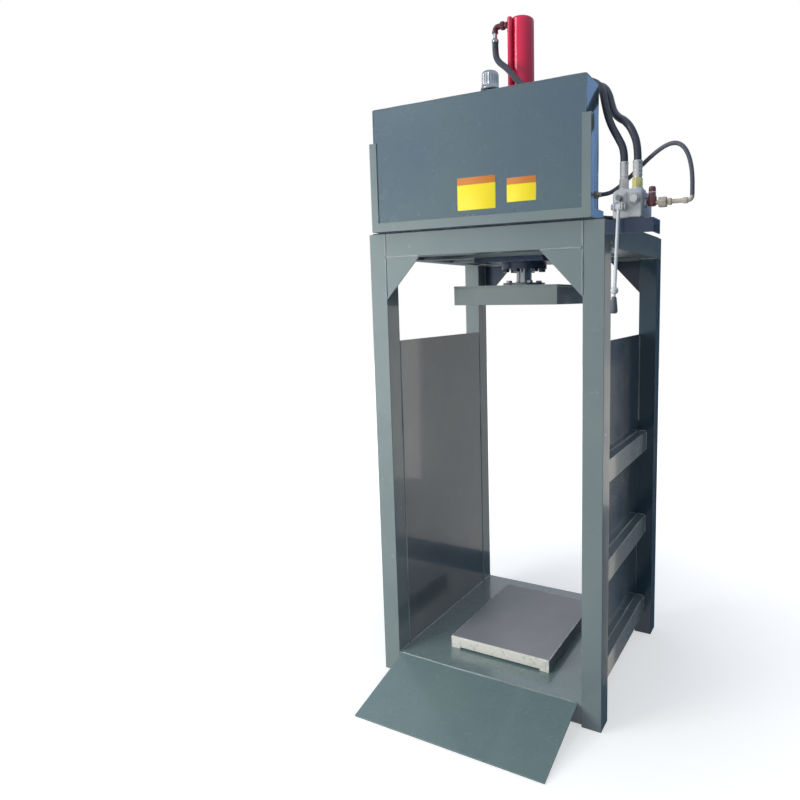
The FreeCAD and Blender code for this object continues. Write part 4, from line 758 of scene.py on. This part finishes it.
def build_breather():
    """Fluted filler cap with a domed top on a plain collar."""
    foot = 1814.4
    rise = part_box("breather_cap")[1][2] / MM - foot

    def fluted(radius, angle, height):
        """Twenty flutes, 1.5 mm deep, that fade out near the foot and the crown."""
        depth = np.clip((height - 9) / 4, 0, 1) * np.clip((47 - height) / 8, 0, 1)
        return radius - 1.5 * depth * (0.5 - 0.5 * np.cos(20 * angle)) * (radius > 18)
    piece("fluted_breather",
          [turned([(0, 1802 - foot), (16.6, 1802 - foot), (16.6, 0), (26, 0), (27, 1), (27, 5),
                   (25.5, 6.5), (24, 8), (24, 14), (24, 22), (24, 30), (24, 38), (23.6, 42),
                   (22, rise - 6), (19, rise - 3), (14, rise - 1), (8, rise), (0, rise)],
                  (37, -295, foot), count=160, shape=fluted)],
          CHROME, "breather", ["breather_cap"], sharp=60)


build_cylinder()
build_elbows()
build_breather()


# ---- control valve ----------------------------------------------------------

LEFT_PORT = (419.5, -290, 0)
RIGHT_PORT = (454.5, -290, 0)
RELIEF_AXIS = (493, -290, 0)
LEVER_PIVOT = (421, -342, 1464)
LEVER_LEAN = 8
GRIP_REACH = 227


def raised(place, height):
    """A place moved to a height."""
    return (place[0], place[1], height)


def build_valve():
    """Cast spool valve with port bosses, end plate, screws and plugs; relief valve."""
    casting = [rounded_block((398, -322, 1437), (476, -218, 1507), 7),
               rounded_block((401, -312, 1500), (473, -268, 1512), 5),
               rounded_block((404, -325.5, 1470), (438, -318, 1502), 3),
               rounded_block((407, -351, 1455), (414, -320, 1473), 3.2),
               rounded_block((428, -351, 1455), (435, -320, 1473), 3.2)]
    for port in (LEFT_PORT, RIGHT_PORT):
        casting.append(turned([(0, 1500), (16.5, 1500), (16, 1512), (14.5, 1516), (0, 1516)],
                              port, count=48))
    casting.append(turned([(0, 0), (15, 0), (14, 8), (12, 10), (0, 10)], (457, -318, 1484),
                          FORWARD, count=48))
    casting.append(turned([(0, 0), (13, 0), (12, 7), (0, 8)], (474, -262, 1484), RIGHTWARD,
                          count=40))
    casting.append(turned([(0, 0), (12, 0), (11, 6), (0, 7)], (474, -290, 1475), RIGHTWARD,
                          count=40))
    piece("valve_casting", casting, CASTING, "frame", ["valve_body"], sharp=40)
    screws = [nut(19, 9, (457, -327, 1484), FORWARD),
              disc(5, 36, (403, -342, 1464), RIGHTWARD, count=24)]
    for x, z in ((409, 1497), (433, 1497), (409, 1476), (433, 1476)):
        screws.append(turned([(0, 0), (3.4, 0), (3.4, 3.4), (2.9, 4), (1.6, 4), (1.6, 2),
                              (0, 2)], (x, -325, z), FORWARD, count=20))
    for x in (402.5, 437):
        screws.append(disc(7.4, 1.8, (x, -342, 1464), RIGHTWARD, count=24))
    screws.append(nut(17, 6, (476, -262, 1484), RIGHTWARD))
    piece("valve_screws", screws, ZINC, "frame", ["valve_body"])
    piece("relief_skin",
          [disc(7, 12, (476, -290, 1482), RIGHTWARD),
           turned([(0, 1467), (9, 1467), (11.6, 1470), (11.6, 1488), (9, 1494), (0, 1494)],
                  RELIEF_AXIS, count=40),
           turned([(0, 1470), (8, 1470), (9, 1471.5), (9, 1500), (8.2, 1501.5), (8.2, 1503),
                   (9, 1504), (9, 1511), (7.6, 1515), (5, 1516), (0, 1516)], RELIEF_AXIS,
                  count=40)],
          BROWN_RED, "frame", ["relief_valve"])
    piece("relief_locknut", [nut(17.4, 5, raised(RELIEF_AXIS, 1498))], ZINC, "frame")


def build_knob():
    """Grip at the foot of the lever, which leans forward from its pin; it widens downwards."""
    lean = math.radians(LEVER_LEAN)
    down = np.array([0, -math.sin(lean), -math.cos(lean)])

    def grooved(radius, angle, height):
        """Rings 0.6 mm deep, one every 5 mm."""
        return radius - 0.6 * (radius > 8) * (0.5 + 0.5 * np.cos(height * 2 * np.pi / 5))
    height = np.linspace(7, 35, 40)
    body = [(6.8 + 4.2 * ((h - 7) / 28) ** 0.8, h) for h in height]
    piece("knob_grip",
          [turned([(0, 0), (5, 0), (6.5, 2)] + body + [(10.6, 37), (9.4, 40), (7, 41.6),
                                                       (3, 42), (0, 42)],
                  np.array(LEVER_PIVOT) + GRIP_REACH * down, down, count=48, shape=grooved)],
          KNOB_PLASTIC, "lever", ["lever_knob"], sharp=50)


def hose_end(name, parts, material):
    """One piece of the group of hose fittings."""
    piece(name, parts, material, "frame", ["hose_fittings"])


def build_hose_ends():
    """Swivel nuts and ferrules at the valve, return line, tank port and pump line ends."""
    for name, port, flats, material in (("left_port_nut", LEFT_PORT, 22, ZINC),
                                        ("right_port_nut", RIGHT_PORT, 24, GOLD_ZINC)):
        hose_end(name, [nut(flats, 24, raised(port, 1516)),
                        disc(flats / 2 - 1.6, 3, raised(port, 1538))], material)
    hose_end("valve_hose_ferrules", [ferrule(11, 43, raised(LEFT_PORT, 1540)),
                                     ferrule(12.6, 43, raised(RIGHT_PORT, 1540))], ZINC)
    curve = bend((582, -290, 1485), DOWN, RIGHTWARD, 10)
    run = np.vstack([[(502, -290, 1475)], [(530, -290, 1475)], [(560, -290, 1475)], curve,
                     [(592, -290, 1486)]])
    hose_end("return_line_end", [nut(24, 20, (510, -290, 1475), RIGHTWARD),
                                 nut(16, 8, (534, -290, 1475), RIGHTWARD),
                                 nut(14, 12, (570, -290, 1475), RIGHTWARD),
                                 carried(run, 5.4, spare=BACKWARD)], OLD_ZINC)
    hose_end("tank_port_end", [nut(18, 9, (335, -270, 1510), RIGHTWARD),
                               turned([(0, 0), (6.4, 0), (6.4, 17), (5.6, 19), (0, 19)],
                                      (335, -270, 1510), RIGHTWARD, count=32)], OLD_ZINC)
    hose_end("pump_line_ends", [ferrule(9, 22, (52, 148.5, 1526), FORWARD),
                                nut(19, 7, (52, 149, 1526), FORWARD),
                                nut(19, 6, (437, -218, 1456), BACKWARD),
                                disc(8, 14, (437, -218, 1456), BACKWARD)], ZINC)


# ---- motor, suction line ----------------------------------------------------

def build_motor():
    """Finned motor frame with end shields and feet, and its terminal box with lid."""
    def finned(radius, angle, height):
        """Forty-four fins, 7 mm deep, that stop short of the end shields."""
        tooth = np.clip(2.4 * np.cos(44 * angle) + 0.2, 0, 1)
        along = np.clip((height - 20) / 4, 0, 1) * np.clip((220 - height) / 4, 0, 1)
        return radius - 7.0 * along * (1 - tooth)
    rows = [(0, 0), (79, 0), (82, 3)] + [(82, h) for h in (18, 20, 24, 120, 216, 220, 222)]
    rows += [(82, 237), (79, 240), (0, 240)]
    feet = [rounded_block((-262, y, 1444), (-98, y + 32, 1474), 3) for y in (118, 240)]
    saddle = rounded_block((-250, 130, 1452), (-110, 260, 1484), 3)
    piece("motor_frame",
          [turned(rows, (-300, 195, 1544), RIGHTWARD, count=352, shape=finned), *feet, saddle],
          MOTOR_PAINT, "frame", ["motor_housing"], sharp=40)
    piece("terminal_cover",
          [rounded_block((-208, 155, 1622), (-120, 235, 1656), 4),
           rounded_block((-210, 153, 1654), (-118, 237, 1664), 4)],
          MOTOR_PAINT, "frame", ["terminal_box"], sharp=40)
    screws = [turned([(0, 1660), (3.5, 1660), (3.5, 1663), (2.5, 1664), (0, 1664)], (x, y, 0),
                     count=20) for x in (-203, -125) for y in (160, 230)]
    piece("terminal_screws", screws, ZINC, "frame")


def build_suction():
    """Suction pipe from the back of the tank round to the pump, with a union nut at each end."""
    curve = bend((125, 170, 1530), RIGHTWARD, BACKWARD, 25)
    run = np.vstack([[(150, -245, 1530)], [(150, 0, 1530)], [(150, 150, 1530)], curve,
                     [(110, 195, 1530)], [(88, 195, 1530)]])
    piece("suction_line", [carried(run, 11, count=32),
                           nut(32, 16, (150, -245, 1530), BACKWARD),
                           nut(32, 16, (88, 195, 1530), RIGHTWARD)],
          ZINC, "frame", ["suction_pipe"])


build_valve()
build_knob()
build_hose_ends()
build_motor()
build_suction()


# ---- welds, labels, small fixings -------------------------------------------

FRONT = -325
INNER = 320
RAIL_FOOT = 1370
BED_FLOOR = 72


def frame_seams():
    """Ends of every bead on the frame, the left side first and the ramp's edge last."""
    right = [((INNER, FRONT, RAIL_FOOT + 2), (INNER, FRONT, RAIL_FOOT + 68)),
             ((INNER - 2, FRONT, RAIL_FOOT), (198, FRONT, RAIL_FOOT)),
             ((INNER, FRONT, RAIL_FOOT - 4), (INNER, FRONT, 1244)),
             ((INNER, 320, RAIL_FOOT - 1), (196, 320, RAIL_FOOT - 1)),
             ((INNER - 1, 321, RAIL_FOOT - 2), (INNER - 1, 321, 1242)),
             ((INNER - 1, -324, 72.6), (INNER - 1, -266, 72.6)),
             ((INNER - 1, 324, 72.6), (INNER - 1, 266, 72.6)),
             ((319.5, -264, 72.6), (319.5, 264, 72.6))]
    for level in range(3):
        middle = 112 + 309 * level
        for y in (-265, 265):
            right.append(((352, y, middle - 33), (352, y, middle + 33)))
            right.append(((324, y, middle + 35), (351, y, middle + 35)))
        right.append(((323.5, -262, middle + 35), (323.5, 262, middle + 35)))
    for y in (-265, 265):
        right.append(((320.5, y * 0.998, 80), (320.5, y * 0.998, 1105)))
        right.append(((323.5, y * 0.998, 800), (323.5, y * 0.998, 1105)))
    right.append(((321, 265, RAIL_FOOT), (379, 265, RAIL_FOOT)))
    right.append(((INNER, 266, RAIL_FOOT), (INNER, 324, RAIL_FOOT)))
    seams = np.concatenate([np.array(right) * (side, 1, 1) for side in (-1, 1)])
    return [*seams, ((-308, FRONT, BED_FLOOR), (308, FRONT, BED_FLOOR))]


def beads(name, seams, width, seed, material, body):
    """A bead along each seam, each with a draw of its own."""
    piece(name, [weld(start, end, width, seed + index)
                 for index, (start, end) in enumerate(seams)], material, body, sharp=80)


def build_welds():
    """Beads along the joints of the frame, the tank's edges and the platen's lid."""
    # The frame's beads carry the lighter enamel, a painted highlight along each bead.
    beads("frame_welds", frame_seams(), 2.6, 5, WELD_HIGHLIGHT_ENAMEL, "frame")
    tank = [((x, y, 1449), (x, y, 1799)) for x in (-334.6, 334.6) for y in (-344.6, -245.4)]
    tank += [((-334, y, 1799.4), (334, y, 1799.4)) for y in (-344.4, -245.6)]
    tank += [((x, -344, 1799.4), (x, -246, 1799.4)) for x in (-334.4, 334.4)]
    beads("tank_welds", tank, 1.3, 90, TANK_PAINT, "frame")
    platen = [((x, -154, 1274), (x, 154, 1274)) for x in (-179.4, 179.4)]
    platen += [((-179, y, 1274), (179, y, 1274)) for y in (-154.4, 154.4)]
    beads("platen_welds", platen, 1.5, 120, PLATEN_PAINT, "ram")


def build_labels():
    """Two blank printed sheets stuck on the tank's front."""
    for name, left, right, low, high, strip in (
            ("large_label", -47, 74, 1487, 1576, 1556), ("small_label", 109, 196, 1499, 1563, 1545)):
        piece(name, [rounded_block((left, -345.5, low), (right, -344.8, high), 0.3, steps=2)],
              label_finish(strip * MM), "frame")


def build_fixings():
    """Two socket screws on the right side of the front right post."""
    head = [(0, 0), (5, 0), (5, 2.5), (3.6, 4), (1.6, 4), (1.6, 2), (0, 2)]
    piece("post_screws", [turned(head, (379.9, -275, z), RIGHTWARD, count=24)
                          for z in (1384, 1368)], OLD_ZINC, "frame")


build_welds()
build_labels()
build_fixings()


# ---- floor and light --------------------------------------------------------

FLOOR_DROP = -0.001


def build_floor():
    """Plain pale floor that the machine stands on, fading to the pale surround further out."""
    mesh = bpy.data.meshes.new("shop_floor")
    corners = [(-9, -7), (9, -7), (9, 9), (-9, 9)]
    mesh.from_pydata([(x, y, FLOOR_DROP) for x, y in corners], [], [(0, 1, 2, 3)])
    floor = bpy.data.objects.new("shop_floor", mesh)
    scene.collection.objects.link(floor)
    material, tree, shader, place = blank("pale_floor")
    shader["Base Color"].default_value = (0.57, 0.56, 0.54, 1)
    shader["Roughness"].default_value = 0.9
    shader["Emission Color"].default_value = (1, 1, 1, 1)
    away = add(tree, "VectorMath", {0: place}, operation="LENGTH")
    fade = ramp(tree, away.outputs["Value"], 0.5, 1.9, bottom=0.56)
    ray = add(tree, "LightPath")
    glow = reckon(tree, "MULTIPLY", fade, ray.outputs["Is Camera Ray"])
    tree.links.new(glow, shader["Emission Strength"])
    mesh.materials.append(material)
    floor.visible_glossy = False


def lamp(name, where, aim, size, power, colour=(1, 1, 1), mirrored=True, lights=True):
    """Soft rectangular lamp that faces a point: seen in the gloss, or lighting, or both."""
    data = bpy.data.lights.new(name, "AREA")
    data.shape = "RECTANGLE"
    data.size, data.size_y = size
    data.energy = power
    data.color = colour
    made = bpy.data.objects.new(name, data)
    scene.collection.objects.link(made)
    ahead, side, top = across(np.array(where, float) - np.array(aim, float))
    turn = np.eye(4)
    turn[:3, :3] = np.stack([side, top, ahead], axis=1)
    turn[:3, 3] = where
    made.matrix_world = Matrix(turn.tolist())
    made.visible_glossy = mirrored
    made.visible_diffuse = lights
    made.visible_camera = False


def build_surround():
    """Pale surround that darkens to blue behind on the right and is white to the camera."""
    world = bpy.data.worlds.new("studio")
    world.use_nodes = True
    tree = world.node_tree
    tree.nodes.clear()
    place = add(tree, "TexCoord").outputs["Generated"]
    right = ramp(tree, dot(tree, place, (0.80, 0.60, 0.0)), -0.55, 0.45)
    shade = mixed(tree, right, (0.60, 0.63, 0.66, 1), (0.035, 0.07, 0.12, 1))
    split = add(tree, "SeparateXYZ", {"Vector": place})
    above = ramp(tree, split.outputs["Z"], 0.12, 0.45)
    sky = mixed(tree, above, shade, (0.44, 0.52, 0.64, 1))
    lit = add(tree, "Background", {"Color": sky, "Strength": 0.8})
    seen = add(tree, "Background", {"Color": (1, 1, 1, 1), "Strength": 1.0})
    ray = add(tree, "LightPath")
    both = add(tree, "MixShader", {0: ray.outputs["Is Camera Ray"], 1: lit.outputs[0],
                                   2: seen.outputs[0]})
    out = tree.nodes.new("ShaderNodeOutputWorld")
    tree.links.new(both.outputs[0], out.inputs["Surface"])
    scene.world = world


def build_lamps():
    """Soft lamps at the front left, and cards that give the glossy paint something to mirror."""
    lamp("key_left", (-1.35, -2.0, 1.05), (0, -0.3, 0.9), (1.0, 1.4), 37, mirrored=False)
    lamp("top_soft", (-0.6, -1.2, 3.6), (0, 0, 1.0), (2.0, 2.0), 24, mirrored=False)
    lamp("back_card", (1.12, 1.6, 0.75), (0.4, -0.3, 0.9), (0.4, 1.5), 1.6, (1.0, 0.95, 0.88))
    lamp("panel_card", (-0.06, 0.5, 0.70), (-0.06, 0, 0.70), (0.72, 1.22), 1.5,
         (1.0, 0.94, 0.87), lights=False)
    lamp("streak_card", (-2.2, -2.6, 3.6), (0, 0, 2.0), (1.0, 1.4), 15, lights=False)
    lamp("side_card", (0.66, 0.80, 0.17), (0.32, -0.2, 0.17), (0.075, 1.54), 0.42,
         (1.0, 0.9, 0.75), lights=False)
    lamp("tank_card", (0.665, 0.68, 1.86), (0.335, -0.3, 1.86), (0.09, 0.62), 0.28,
         (0.25, 0.5, 1.0), lights=False)
    lamp("left_card", (-2.6, -2.4, 1.0), (0, 0, 1.0), (0.7, 1.8), 5)


build_floor()
build_surround()
build_lamps()
scene.view_settings.view_transform = "Standard"
